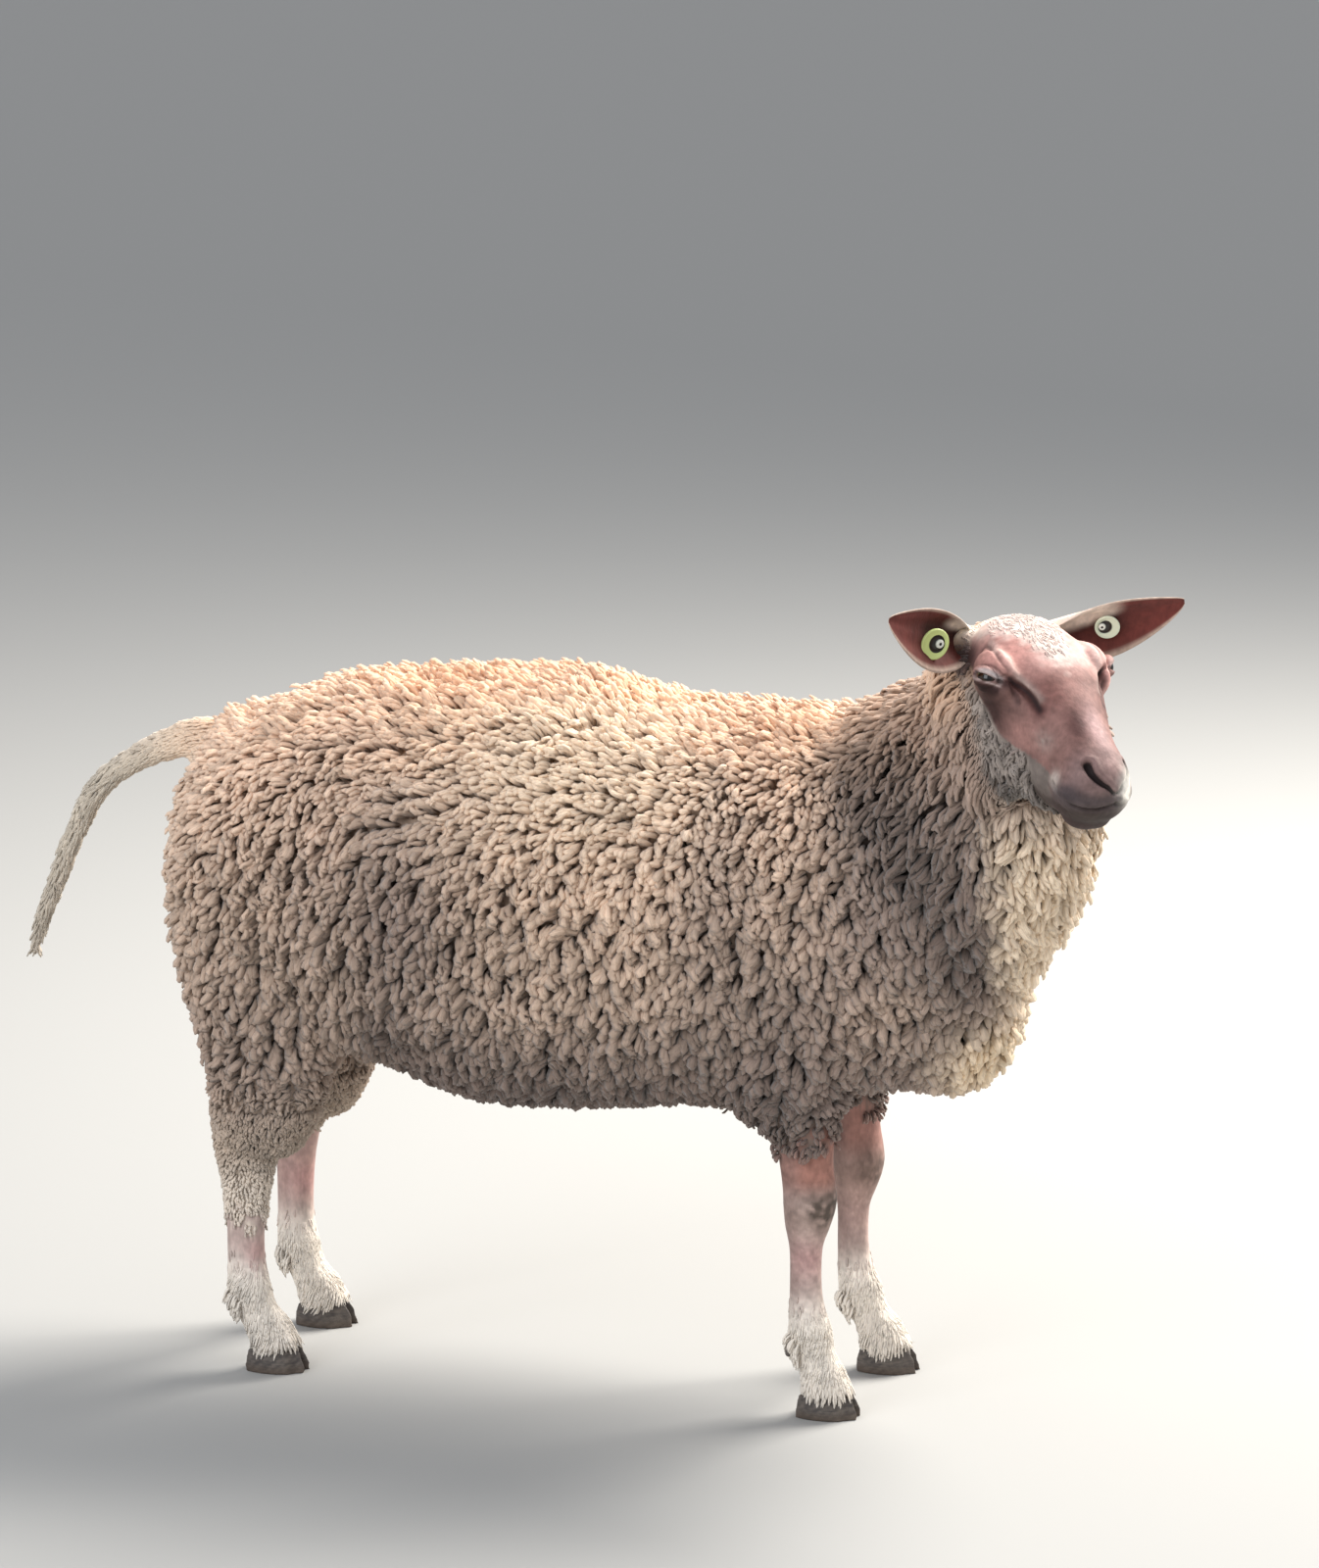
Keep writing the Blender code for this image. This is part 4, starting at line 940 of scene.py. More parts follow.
def skin_colour(points):
    """The short-haired skin: brown cheeks, pink brow, white forehead, grey jaw and lips, painted shade in
    creases, grooves, nostrils and round the near eye, and painted highlights on ridges, the far side and
    the corners of the mouth.
    """
    p, h, q = points - BODY_ORIGIN, face_points(points), to_head(points)
    brow = ramp(h[:, 2], 0.072, 0.092) * (1 - ramp(h[:, 0], 0.105, 0.150))
    bridge = ramp(0.040 - h[:, 1], 0.0, 0.026) * ramp(h[:, 2], 0.016, 0.045)
    grey = (1 - ramp(past(points, GREY_X), -0.004, 0.008)) * (h[:, 2] < 0.07)
    lips = ramp(h[:, 0], 0.186, 0.202) * (1 - ramp(h[:, 2], 0.000, 0.012))
    chin = ramp(-h[:, 2], 0.010, 0.018) * ramp(h[:, 0], 0.17, 0.20)
    layers = [(SKIN_PINK, 0.85 * brow), (SKIN_PINK * 0.8, 0.20 * bridge)]
    layers += patch_layers(q, FACE_PATCHES)
    layers += [
        (SKIN_PINK * 0.8, 0.30 * spot(h, (0.150, 0.045, 0.036), (0.022, 0.020, 0.014))),
        (SKIN_GREY, 0.5 * ramp(h[:, 0], 0.196, 0.226)),
        (GREY_HAIR * 0.62, 0.9 * grey),
    ]
    layers += patch_layers(h, THROAT_PATCH, 1.5)
    layers += [(tint(84, 74, 74), 0.9 * lips), (SKIN_DARK * 0.6, 0.9 * chin)]
    # painted shade in the brow fold and the wedge
    for fold, width, share in (("brow", 0.0024, 0.80), ("wedge", 0.0040, 0.85)):
        gap, along = gap_to(h, PATHS[fold])
        layers.append((SKIN_DARK * 0.6, share * bell(gap, width) * np.sin(math.pi * along) ** 0.4))
    # painted shade in the tear groove under the ridge
    gap, along = gap_to(h, PATHS["tear"])
    layers.append((tint(98, 54, 50), 0.80 * bell(gap, 0.0060 + 0.0030 * along) * ramp(along, 0.0, 0.2)))
    layers.append((tint(30, 16, 18), 0.94 * bell(gap, 0.0023 + 0.0030 * along)))
    # painted highlight along the ridge
    gap, along = gap_to(h, PATHS["ridge"])
    layers.append((SKIN_PALE, 0.38 * bell(gap, 0.0042) * (1 - 0.4 * along)))
    layers += eye_layers(q)
    # painted shade inside the nostril
    gap, along = gap_to(h, PATHS["nostril"])
    opening = 1 - ramp(gap, 0.0036 - 0.0018 * along, 0.0058 - 0.0026 * along)
    layers.append((tint(20, 10, 12), 0.98 * opening))
    # painted shade in the mouth line
    layers.append((SKIN_DARK * 0.3, 0.9 * bell(gap_to(h, PATHS["mouth"])[0], 0.0018)))
    # painted highlight at each corner of the mouth
    layers.append((SKIN_PALE, 0.7 * spot(h, (0.199, 0.036, 0.0085), (0.008, 0.014, 0.008))))
    layers += patch_layers(q, MUZZLE_PATCHES)
    flecks = spot(h, (0.1700, 0.037, 0.036), (0.011, 0.02, 0.009))
    flecks = flecks + spot(h, (0.128, 0.049, 0.008), (0.014, 0.02, 0.010))
    flecks = np.clip(flecks, 0, 1) * (0.8 + 0.4 * wander(h, 0.008, 15, 16))
    layers += [
        (tint(240, 222, 212) * (0.86 + 0.12 * wander(h, 0.007, 13, 24))[:, None], 0.88 * white_forehead(h)),
        (tint(172, 162, 155), 0.45 * flecks),
        (leg_colour(p), 1 - ramp(p[:, 2], 0.30, 0.34)),
    ]
    blotch = 0.12 * wander(p, 0.03, 8) + 0.12 * wander(p, 0.011, 10, 16) + 0.06 * wander(p, 0.005, 9, 16)
    return held(painted(plain(SKIN, len(p)), layers) * (1 + blotch)[:, None])


def leg_colour(p):
    """The bare legs: near-white pasterns, rust forearms, painted shade down the back edges of the fore
    cannons, dark knees and pink flushes.
    """
    x, y, z = p.T
    fore = ramp(x, -0.1, 0.0)
    layers = [
        (LEG_PALE, 0.9 * (1 - ramp(z, 0.095, 0.140))),
        (LEG_RUST, 0.9 * ramp(z, 0.222, 0.250) * fore),
        (tint(176, 136, 128), 0.5 * ramp(z, 0.12, 0.17) * (y > 0)),
    ]
    for s, strength in ((-1, 0.85), (1, 0.5)):
        own = fore * (np.sign(y) == s)
        middle = s * STANCE_HALF_WIDTH
        # painted shade down the back edge of each fore cannon
        back_edge_shade = ramp(FORE_CANNON_X - x, -0.006, 0.012) * ramp(z, 0.10, 0.14)
        patch = spot(p, (KNEE_FRONT_X, middle - 0.012, 0.218), (0.016, 0.026, 0.018))
        patch = np.clip(patch * (1.25 + 0.9 * wander(p, 0.010, 18, 16)), 0, 1)
        layers += [
            (tint(128, 106, 100), 0.55 * own * back_edge_shade),
            (tint(150, 124, 110), 0.6 * own * spot(p, (KNEE_FRONT_X, middle, 0.212), (0.05, 0.05, 0.024))),
            (tint(64, 56, 48), strength * own * patch),
        ]
    flush = sum(
        spot(p, middle, radii)
        for middle, radii in (
            ((-0.405, -0.10, 0.125), (0.014, 0.03, 0.014)),
            ((-0.42, 0.09, 0.160), (0.02, 0.03, 0.02)),
            ((0.190, -0.10, 0.165), (0.02, 0.03, 0.02)),
        )
    )
    layers.append((tint(206, 150, 148), 0.5 * np.clip(flush, 0, 1)))
    return painted(plain(LEG, len(p)), layers)


def eye_layers(h):
    """Paint about each eye, stronger on the near one: painted shade in the pouch, a painted highlight on
    the upper lid, painted shade in the crease over it and under the lid's edge, a pale lower rim, and
    painted shade in the corners.
    """
    layers = []
    for s in SIDES.values():
        along, up, out = eye_axes(s)
        d = h - EYE_IN_HEAD * (1, s, 1)
        a, b = d @ along, d @ up
        fold = b + fold_drop(a)
        near = ((np.linalg.norm(d, axis=1) < 0.027) & (d @ out > 0)) * ramp(0.0175 - np.abs(a), 0.0, 0.0045)
        near = near * (1.0 if s < 0 else 0.45)
        corner = np.hypot((np.abs(a) - 0.0126) / 0.0040, (b - 0.0005) / 0.0022)
        layers += [
            (tint(40, 20, 18), 0.95 * near * bell(b + 0.0090, 0.0036)),
            (tint(200, 190, 188), 0.88 * near * bell(fold - 0.0058, 0.0034)),
            (tint(84, 58, 56), 0.75 * near * bell(fold - 0.0122, 0.0016)),
            (tint(60, 40, 38), 0.85 * near * bell(b - 0.0016, 0.0009)),
            (tint(206, 184, 178), 0.70 * near * bell(b + 0.0040, 0.0010)),
            (tint(44, 26, 24), (0.92 if s < 0 else 0.4) * (near > 0) * (1 - ramp(corner, 0.7, 1.5))),
        ]
    return layers


def coat_colour(points):
    """One colour for skin and coat at the same place: wool, or bare skin where the hair is short."""
    bare = bare_share(points)[:, None]
    colour = wool_colour(points) * (1 - bare) + skin_colour(points) * bare
    h = face_points(points)
    white = np.minimum(1, 1.8 * spot(h, (0.018, 0.052, 0.1010), (0.022, 0.018, 0.0085)))
    # painted shade at the roots of the ears, then white hair
    return painted(colour, patch_layers(h, EAR_ROOT_PATCHES, 1.6) + [(WOOL_WHITE, 0.90 * white)])


def give_tone(thing, colours):
    """Stores a colour on each point."""
    layer = thing.data.attributes.new("tone", "FLOAT_COLOR", "POINT")
    rows = np.ones((len(colours), 4), np.float32)
    rows[:, :3] = colours
    layer.data.foreach_set("color", rows.reshape(-1))


# --- the fleece ---------------------------------------------------------------------------------


def lie_of_coat(points, normals):
    """The way the wool lies: back along the spine, down on the sides and legs, along the tail."""
    p, h = points - BODY_ORIGIN, to_head(points)
    ribs = ramp(p[:, 0], -0.32, -0.22) * (1 - ramp(p[:, 0], 0.05, 0.13)) * ramp(p[:, 2], 0.53, 0.64)
    top = np.maximum(ramp(normals[:, 2], 0.55, 0.95), 0.8 * ribs)[:, None]
    way = np.array((-0.16, 0.0, -1.0)) * (1 - top) + np.array((-1.0, 0.0, -0.12)) * top
    neck = (ramp(p[:, 0], 0.22, 0.34) * ramp(p[:, 2], 0.48, 0.60))[:, None]
    way = way * (1 - neck) + np.array((-0.30, 0.0, -1.0)) * neck
    poll = (ramp(h[:, 0], -0.05, 0.0) * ramp(h[:, 2], 0.06, 0.09))[:, None]
    way = way * (1 - poll) - HEAD_TURN[:, 0] * poll
    path = smooth_rows([row[:3] for row in TAIL], 24)
    heading = unit(np.gradient(path, axis=0))
    gap, along = path_distance(p, [row[:3] for row in TAIL])
    tail = tail_share(p)[:, None]
    way = way * (1 - tail) + heading[(along * 23).round().astype(int)] * tail
    calm = 1 - 0.6 * tail
    way = way + 0.18 * calm * np.stack([wander(p, 0.13, seed) for seed in (31, 32, 33)], axis=1)
    way = way + 0.20 * calm * np.stack([wander(p, 0.035, seed) for seed in (34, 35, 36)], axis=1)
    brow = (white_forehead(h) * ramp(h[:, 0], 0.02, 0.06))[:, None]
    way = way + 0.7 * brow * np.stack([wander(p, 0.022, seed) for seed in (37, 38, 39)], axis=1)
    way = way - normals * (way * normals).sum(axis=1, keepdims=True)
    return unit(way)


def locks(name, roots, normals, ways, shape, colours, patches, sides=3):
    """Blunt, flattened and curled tubes, one for each root, with t from 0 at the root to 1 at the tip.

    The middle line is root + normal * (rise * (1.16 t^0.7 - 0.16 t^4) + 0.6 curl * t^2 * cos(turn * t
    + phase)) + way * reach * t^1.9 + across * curl * t^1.5 * sin(turn * t + phase). Each ring is an oval,
    wide by thick, times its share in RING_WIDTHS. The foot is darker than the tip, as painted shade deep
    in the fleece, and less so where the lock is soft. shape holds an array for each of SHAPE_KEYS.
    """
    count = len(roots)
    rise, reach, wide, thick, curl, turn, phase, soft = (shape[key][:, None] for key in SHAPE_KEYS)
    across = unit(np.cross(normals, ways))
    t = np.array(RING_PLACES)[None]
    rings = len(RING_PLACES)
    climb = rise * (1.16 * t**0.7 - 0.16 * t**4)
    slide = reach * t**1.9
    wave = curl * t**1.5 * np.sin(turn * t + phase)
    lift = 0.6 * curl * t**2 * np.cos(turn * t + phase)
    middle = (
        roots[:, None]
        + normals[:, None] * (climb + lift)[..., None]
        + ways[:, None] * slide[..., None]
        + across[:, None] * wave[..., None]
    )
    tangent = unit(np.gradient(middle, axis=1))
    flat = unit(across[:, None] - tangent * (across[:, None] * tangent).sum(axis=-1, keepdims=True))
    out = np.cross(tangent, flat)
    leaf = np.array(RING_WIDTHS)[None] * MAKE.uniform(0.88, 1.12, (count, rings))
    angle = np.linspace(0, 2 * math.pi, sides, endpoint=False) + math.pi / 2
    points = (
        middle[:, :, None]
        + flat[:, :, None] * (wide * leaf)[..., None, None] * np.cos(angle)[:, None]
        + out[:, :, None] * (thick * leaf)[..., None, None] * np.sin(angle)[:, None]
    ).reshape(-1, 3)
    start = (np.arange(count) * rings * sides)[:, None, None]
    quads = (tube_quads(rings, sides)[None] + start).reshape(-1, 4)
    foot = np.arange(sides)[None, ::-1] + start[:, 0]
    tip = np.arange(sides)[None] + (rings - 1) * sides + start[:, 0]
    thing = object_from(name, points, quads, [foot, tip])
    # painted shade deep in the fleece: each lock darker at its foot than at its tip
    fade = 0.74 + 0.20 * soft + (0.30 - 0.20 * soft) * ramp(t, 0.25, 0.88)
    tones = (colours[:, None] * fade[..., None]).repeat(sides, axis=1)
    give_tone(thing, held(tones.reshape(-1, 3)))
    lay = thing.data.uv_layers.new(name="OFBake")
    ring, side = np.meshgrid(np.arange(rings - 1), np.arange(sides), indexing="ij")
    u = np.stack([side, side + 1, side + 1, side], axis=-1) / sides
    v = np.stack([ring, ring, ring + 1, ring + 1], axis=-1) / (rings - 1)
    quad_uv = np.stack([u, v], axis=-1).reshape(1, -1, 2)
    ends = np.linspace(0, 1, sides)
    foot_uv = np.stack([ends[::-1], 0 * ends], axis=-1)[None]
    tip_uv = np.stack([ends, 0 * ends + 1], axis=-1)[None]
    whole = [(patches[:, None] + PATCH * uv).reshape(-1, 2) for uv in (quad_uv, foot_uv, tip_uv)]
    lay.data.foreach_set("uv", np.concatenate(whole).astype(np.float32).reshape(-1))
    fibre = thing.data.uv_layers.new(name="fibre")
    shift = MAKE.uniform(0, 40, (count, 1, 2))
    whole = [(shift + uv).reshape(-1, 2) for uv in (quad_uv, foot_uv, tip_uv)]
    fibre.data.foreach_set("uv", np.concatenate(whole).astype(np.float32).reshape(-1))
    thing.data.materials.append(WOOL_FINISH)
    return thing


SHAPE_KEYS = ("rise", "reach", "wide", "thick", "curl", "turn", "phase", "soft")
PATCH = 0.003  # how much of the unwrapped skin each lock has for its own
# Where a lock's rings are along it, and how wide each is.
RING_PLACES = (0.0, 0.42, 0.68, 0.88, 1.0)
RING_WIDTHS = (0.55, 0.90, 1.05, 1.0, 0.48)


def root_grid(skin, voxel):
    """Even places over the skin: the points of a coarse copy, with their normals and unwrapped places."""
    coarse = twin_of(skin)
    fuse(coarse, voxel, 3)
    bpy.ops.object.select_all(action="DESELECT")
    coarse.select_set(True)
    bpy.context.view_layer.objects.active = coarse
    bpy.ops.object.mode_set(mode="EDIT")
    bpy.ops.mesh.select_all(action="SELECT")
    bpy.ops.uv.smart_project(angle_limit=math.radians(66), island_margin=0.002)
    bpy.ops.object.mode_set(mode="OBJECT")
    mesh = coarse.data
    uv = np.empty(len(mesh.loops) * 2)
    mesh.uv_layers.active.data.foreach_get("uv", uv)
    corner = np.empty(len(mesh.loops), np.int32)
    mesh.loops.foreach_get("vertex_index", corner)
    places = np.zeros((len(mesh.vertices), 2))
    places[corner] = uv.reshape(-1, 2)
    points, normals = points_of(coarse), normals_of(coarse)
    bpy.data.objects.remove(coarse, do_unlink=True)
    return points, normals, places


def clump(roots, normals, ways, shape, pull, dark):
    """Gathers neighbouring strands into staples: one wave, lean and height for each, tips drawn together.

    A strand's way becomes way + lean + pull * (gap to its staple's middle) / reach, flat on the skin.
    Towards the staple's rim it gets lower, and darker by the share dark as painted shade, so each staple is
    plump and set off by a thin, shaded gap.
    """
    seeds = roots[MAKE.uniform(0, 1, len(roots)) < STAPLE_SHARE * (0.9 + 0.3 * shape["soft"])]
    own = nearest(roots, seeds)
    count = len(seeds)
    lean = MAKE.normal(0, 0.22 * pull, (count, 3))[own]
    height = MAKE.normal(1.0, 0.06, count)[own]
    for key, low, high in (("phase", 0, 2 * math.pi), ("turn", 4.0, 7.5)):
        shape[key] = MAKE.uniform(low, high, count)[own] + MAKE.normal(0, 0.30, len(roots))
    shape["curl"] = shape["curl"] * MAKE.uniform(0.5, 1.5, count)[own]
    to_seed = seeds[own] - roots
    to_seed = to_seed - normals * (to_seed * normals).sum(axis=1, keepdims=True)
    rim = np.linalg.norm(to_seed, axis=1)
    rim = np.clip(rim / (2 * rim.mean()), 0, 1)
    way = ways + lean + to_seed / np.maximum(shape["reach"], 0.006)[:, None] * pull
    way = way - normals * (way * normals).sum(axis=1, keepdims=True)
    shape["rise"] = shape["rise"] * height * (1.08 - 0.8 * dark * rim)
    shade = MAKE.normal(1, 0.07, count).clip(0.8, 1.2)[own]
    # painted shade at each staple's rim, over each staple's own tone
    return unit(way), shade * (1.06 - dark * rim * np.maximum(1 - 0.75 * shape["soft"], 0))


STAPLE_SHARE = 0.22  # how many of the strands are the middle of a staple
CREASES = [
    # body coordinates of a parting in the wool, how deep and how wide it is
    ([(0.092, -0.080, 0.71), (0.110, -0.149, 0.655), (0.113, -0.180, 0.600), (0.112, -0.194, 0.56)],
     0.30, 0.008),
    ([(0.193, -0.050, 0.71), (0.203, -0.118, 0.674), (0.207, -0.154, 0.621), (0.215, -0.168, 0.565)],
     0.32, 0.009),
    ([(0.237, -0.125, 0.677), (0.264, -0.15, 0.623), (0.291, -0.157, 0.567), (0.324, -0.149, 0.519),
      (0.364, -0.108, 0.464)], 0.40, 0.014),
    ([(-0.245, -0.178, 0.383), (-0.252, -0.198, 0.424), (-0.269, -0.206, 0.485), (-0.267, -0.205, 0.545)],
     0.55, 0.014),
    ([(0.083, -0.186, 0.375), (0.090, -0.194, 0.425), (0.100, -0.199, 0.486)], 0.60, 0.014),
]


def crease_drop(points):
    """How much lower the wool is in its partings: near 0 away from them."""
    p = points - BODY_ORIGIN
    p[:, 1] = -np.abs(p[:, 1])
    drop = np.zeros(len(p))
    for path, deep, width in CREASES:
        gap, along = path_distance(p, path, 14)
        drop = np.maximum(drop, deep * bell(gap, width))
    return drop


def lock_shapes(points, normals):
    """Length, width and curl of the wool: deep and plump on the barrel, fine and flat elsewhere."""
    p = points - BODY_ORIGIN
    count = len(points)
    depth = coat_depth(points)
    top = ramp(normals[:, 2], 0.5, 0.9)
    neck = ramp(p[:, 0], 0.20, 0.30) * ramp(p[:, 2], 0.45, 0.58)
    back = ramp(p[:, 2], 0.50, 0.66)
    size = MAKE.normal(1, 0.16, count).clip(0.6, 1.5)
    long = ramp(depth, 0.005, 0.020)
    wide = (0.0052 - 0.0003 * neck - 0.0013 * back) * size * (0.36 + 0.64 * long)
    rise = np.maximum(depth * 0.95, 0.0030) * MAKE.normal(1.0, 0.035, count).clip(0.85, 1.15)
    reach = (0.0145 + 0.006 * neck + 0.002 * top) * MAKE.uniform(0.8, 1.2, count) * (0.42 + 0.58 * long)
    far_jaw = (to_head(points)[:, 1] > 0.01) & (past(points, WOOL_X) > -0.04)
    far_jaw &= (p[:, 2] > 0.55) & ~on_brow(points)
    curl = (0.0046 + 0.0016 * neck) * (0.25 + 0.75 * long) * (1 - 0.35 * back)
    rise = rise + 0.016 * spot(p, (0.085, -0.02, 0.32), (0.016, 0.024, 0.04))
    soft = 0.35 + 0.45 * back
    low = p[:, 2] < 0.045
    on_tail = tail_share(p) > 0.5
    for place, values in (
        # where, half width, rise, reach, curl, soft
        (on_brow(points), (0.0014, 0.0006, 0.0068, 0.0006, 1.30)),
        (on_cheek(points), (0.0028, 0.0044, 0.0105, 0.0040, 0.7)),
        (on_fetlock(points), (0.0014, 0.0007, 0.0098, 0.0004, 1.35)),
        (on_fetlock(points) & low, (0.0014, 0.0013, 0.0135, 0.0004, 1.35)),
        (on_spur(points), (0.0021, 0.0090, 0.0130, 0.0010, 1.25)),
        (on_tail, (0.0020, 0.0024, 0.0130, 0.0012, 1.0)),
        (on_tail & (p[:, 0] < -0.600), (0.0018, 0.0034, 0.0170, 0.0018, 0.9)),
    ):
        wide = np.where(place, values[0] * size, wide)
        rise = np.where(place, values[1], rise)
        reach = np.where(place, values[2] * MAKE.uniform(0.7, 1.3, count), reach)
        curl = np.where(place, values[3], curl)
        soft = np.where(place, values[4], soft)
    rise = np.where(far_jaw, 0.55 * rise, rise)
    reach = np.where(far_jaw, 0.5 * reach, reach)
    return {
        "rise": rise * (1 - crease_drop(points)),
        "reach": reach,
        "wide": wide,
        "thick": wide * MAKE.uniform(0.50, 0.70, count) * np.where(soft > 1, 0.65, 1.0),
        "soft": soft,
        "curl": curl,
    }


def on_brow(points):
    """True on poll and forehead, with their small flat curls."""
    h = face_points(points)
    return (h[:, 2] > 0.07) & (h[:, 0] > -0.01) & (h[:, 1] < 0.075) & (points[:, 2] > BODY_ORIGIN[2] + 0.6)


def on_cheek(points):
    """True on the short grey curls between the long wool and the bare face."""
    up = to_head(points)[:, 2]
    return (past(points, WOOL_X) > 0.002) & (past(points, CURL_X) < 0.008) & (up < 0.075) & (up > -0.06)


def clear_of_ears(points):
    """True where no ear grows."""
    h = face_points(points)
    return np.linalg.norm(h - EAR_ROOT, axis=1) > EAR_ROOT_REACH


def on_fetlock(points):
    """True on the pasterns and the backs of the fetlocks, which carry longer white hair."""
    height = points[:, 2] - BODY_ORIGIN[2]
    return (height < 0.112 + 0.016 * wander(points, 0.008, 41, 12)) & (height > 0.0262)


def on_spur(points):
    """True round the dewclaws, where the white hair is longest and stands out over the horn."""
    near = np.zeros(len(points), bool)
    for end, side in LEGS:
        for place in ("inner", "outer"):
            claw = points_of(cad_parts[f"{end}_{side}_dewclaw_{place}"]).mean(axis=0)
            near |= np.linalg.norm(points - claw - (0, 0, 0.004), axis=1) < 0.0135
    return near & on_fetlock(points)


def make_fleece(skin):
    """Staples over the deep wool, and finer locks on poll, cheeks, tail, hocks and pasterns, by region."""
    rows = []
    for step, fine, pull, dark in GROWTHS:
        points, normals, places = root_grid(skin, step)
        shallow = coat_depth(points) < SHALLOW_COAT
        keep = (bare_share(points) < 0.5) & (shallow == fine) & clear_of_ears(points)
        if fine:
            chance = MAKE.uniform(0, 1, len(points))
            keep &= ~on_cheek(points) | (chance < 0.5)
            h = to_head(points)
            far_cheek = (h[:, 1] > 0.02) & (h[:, 2] > 0.012) & (h[:, 2] < 0.075)
            keep &= ~(far_cheek & (past(points, WOOL_X) > -0.014))
            white = white_forehead(face_points(points))
            keep |= on_fetlock(points) | (on_brow(points) & (white > 0.42 + 0.85 * chance))
        points, normals, places = points[keep], normals[keep], places[keep]
        slip = MAKE.normal(0, 0.26 * step, points.shape)
        slip = slip - normals * (slip * normals).sum(axis=1, keepdims=True)
        shape = lock_shapes(points, normals)
        roots = points + slip - normals * np.minimum(0.35 * shape["rise"], 0.002)[:, None]
        ways, shade = clump(roots, normals, lie_of_coat(points, normals), shape, pull, dark)
        shade = shade * MAKE.normal(1, 0.035, len(points)).clip(0.85, 1.15)
        colours = coat_colour(points) * shade[:, None]
        rows.append((roots, normals, ways, colours, places, shape))
    roots, normals, ways, colours, places = (np.concatenate([row[i] for row in rows]) for i in range(5))
    shape = {key: np.concatenate([row[5][key] for row in rows]) for key in SHAPE_KEYS}
    region = region_of(roots - BODY_ORIGIN)
    for number, (name, nodes) in enumerate(REGIONS):
        pick = region == number
        part = {key: value[pick] for key, value in shape.items()}
        grown = (roots[pick], normals[pick], ways[pick], part, colours[pick], places[pick])
        piece = locks("fleece_" + name, *grown)
        hand_over(piece, nodes)


SHALLOW_COAT = 0.0085  # wool less deep than this is made of fine locks
# How far apart the locks grow, whether they are fine, and the pull and the painted shade at staple rims
# (dark) that clump has for them.
GROWTHS = ((0.0067, False, 0.66, 0.34), (0.0037, True, 0.12, 0.10))
REGIONS = [
    ("neck_right", ["neck"]),
    ("neck_left", ["neck"]),
    ("shoulder_right", ["trunk"]),
    ("shoulder_left", ["trunk"]),
    ("flank_right", ["trunk"]),
    ("flank_left", ["trunk"]),
    ("rump_right", ["trunk"]),
    ("rump_left", ["trunk"]),
    ("forelegs", [f"foreleg_{side}_upper" for side in SIDES]),
    ("hind_legs", [f"hind_leg_{side}_upper" for side in SIDES]),
    ("tail", ["tail_root", "tail_tip"]),
    ("fetlocks", [f"{end}_{side}_pastern" for end, side in LEGS]),
]


def region_of(p):
    """The number of the fleece piece that each place belongs to."""
    left = (p[:, 1] > 0).astype(int)
    behind = sum((p[:, 0] <= edge).astype(int) for edge in (0.26, 0.02, -0.24))
    region = 2 * behind + left
    legs = p[:, 2] < 0.36
    region = np.where(legs & (p[:, 0] > 0.05), 8, region)
    region = np.where(legs & (p[:, 0] < -0.26), 9, region)
    region = np.where(p[:, 2] < 0.15, 11, region)
    return np.where((p[:, 0] < -0.545) & (p[:, 2] > 0.36), 10, region)


# --- finishes -----------------------------------------------------------------------------------


def finish_of(name, roughness, sheen=0.0, shine=0.5):
    """A finish that takes its colour from the tone on each point."""
    finish = bpy.data.materials.new(name)
    finish.use_nodes = True
    nodes = finish.node_tree.nodes
    shader = nodes["Principled BSDF"]
    shader.inputs["Roughness"].default_value = roughness
    shader.inputs["Sheen Weight"].default_value = sheen
    shader.inputs["Specular IOR Level"].default_value = shine
    shader.inputs["Sheen Roughness"].default_value = 0.6
    tone = nodes.new("ShaderNodeAttribute")
    tone.attribute_name = "tone"
    finish.node_tree.links.new(tone.outputs["Color"], shader.inputs["Base Color"])
    return finish


def noise_at(finish, place, scale, detail):
    """The height of a noise that is read at a place, times a scale."""
    nodes, links = finish.node_tree.nodes, finish.node_tree.links
    stretch = nodes.new("ShaderNodeMapping")
    stretch.inputs["Scale"].default_value = scale
    noise = nodes.new("ShaderNodeTexNoise")
    noise.inputs["Scale"].default_value = 1.0
    noise.inputs["Detail"].default_value = detail
    links.new(place, stretch.inputs["Vector"])
    links.new(stretch.outputs["Vector"], noise.inputs["Vector"])
    return noise.outputs["Fac"]


def shade_by(finish, level, lows, highs):
    """Multiplies the tone by a level, brought from the range of lows to that of highs."""
    nodes, links = finish.node_tree.nodes, finish.node_tree.links
    spread = nodes.new("ShaderNodeMapRange")
    for socket, value in zip(("From Min", "From Max", "To Min", "To Max"), (*lows, *highs)):
        spread.inputs[socket].default_value = value
    dimmed = nodes.new("ShaderNodeVectorMath")
    dimmed.operation = "SCALE"
    links.new(level, spread.inputs["Value"])
    links.new(nodes["Attribute"].outputs["Color"], dimmed.inputs[0])
    links.new(spread.outputs["Result"], dimmed.inputs["Scale"])
    links.new(dimmed.outputs["Vector"], nodes["Principled BSDF"].inputs["Base Color"])


def raise_by(finish, height, strength, distance):
    """Raises the surface by a height."""
    nodes, links = finish.node_tree.nodes, finish.node_tree.links
    bump = nodes.new("ShaderNodeBump")
    bump.inputs["Strength"].default_value = strength
    bump.inputs["Distance"].default_value = distance
    links.new(height, bump.inputs["Height"])
    links.new(bump.outputs["Normal"], nodes["Principled BSDF"].inputs["Normal"])


def streaked(finish, scale, strength, bump, distance):
    """Adds fine fibres: noise stretched along the lock, which shades the colour and raises the surface."""
    place = finish.node_tree.nodes.new("ShaderNodeUVMap")
    place.uv_map = "fibre"
    fibres = noise_at(finish, place.outputs["UV"], scale, 2.0)
    shade_by(finish, fibres, (0.3, 0.7), (1 - strength, 1 + strength * 0.6))
    raise_by(finish, fibres, bump, distance)


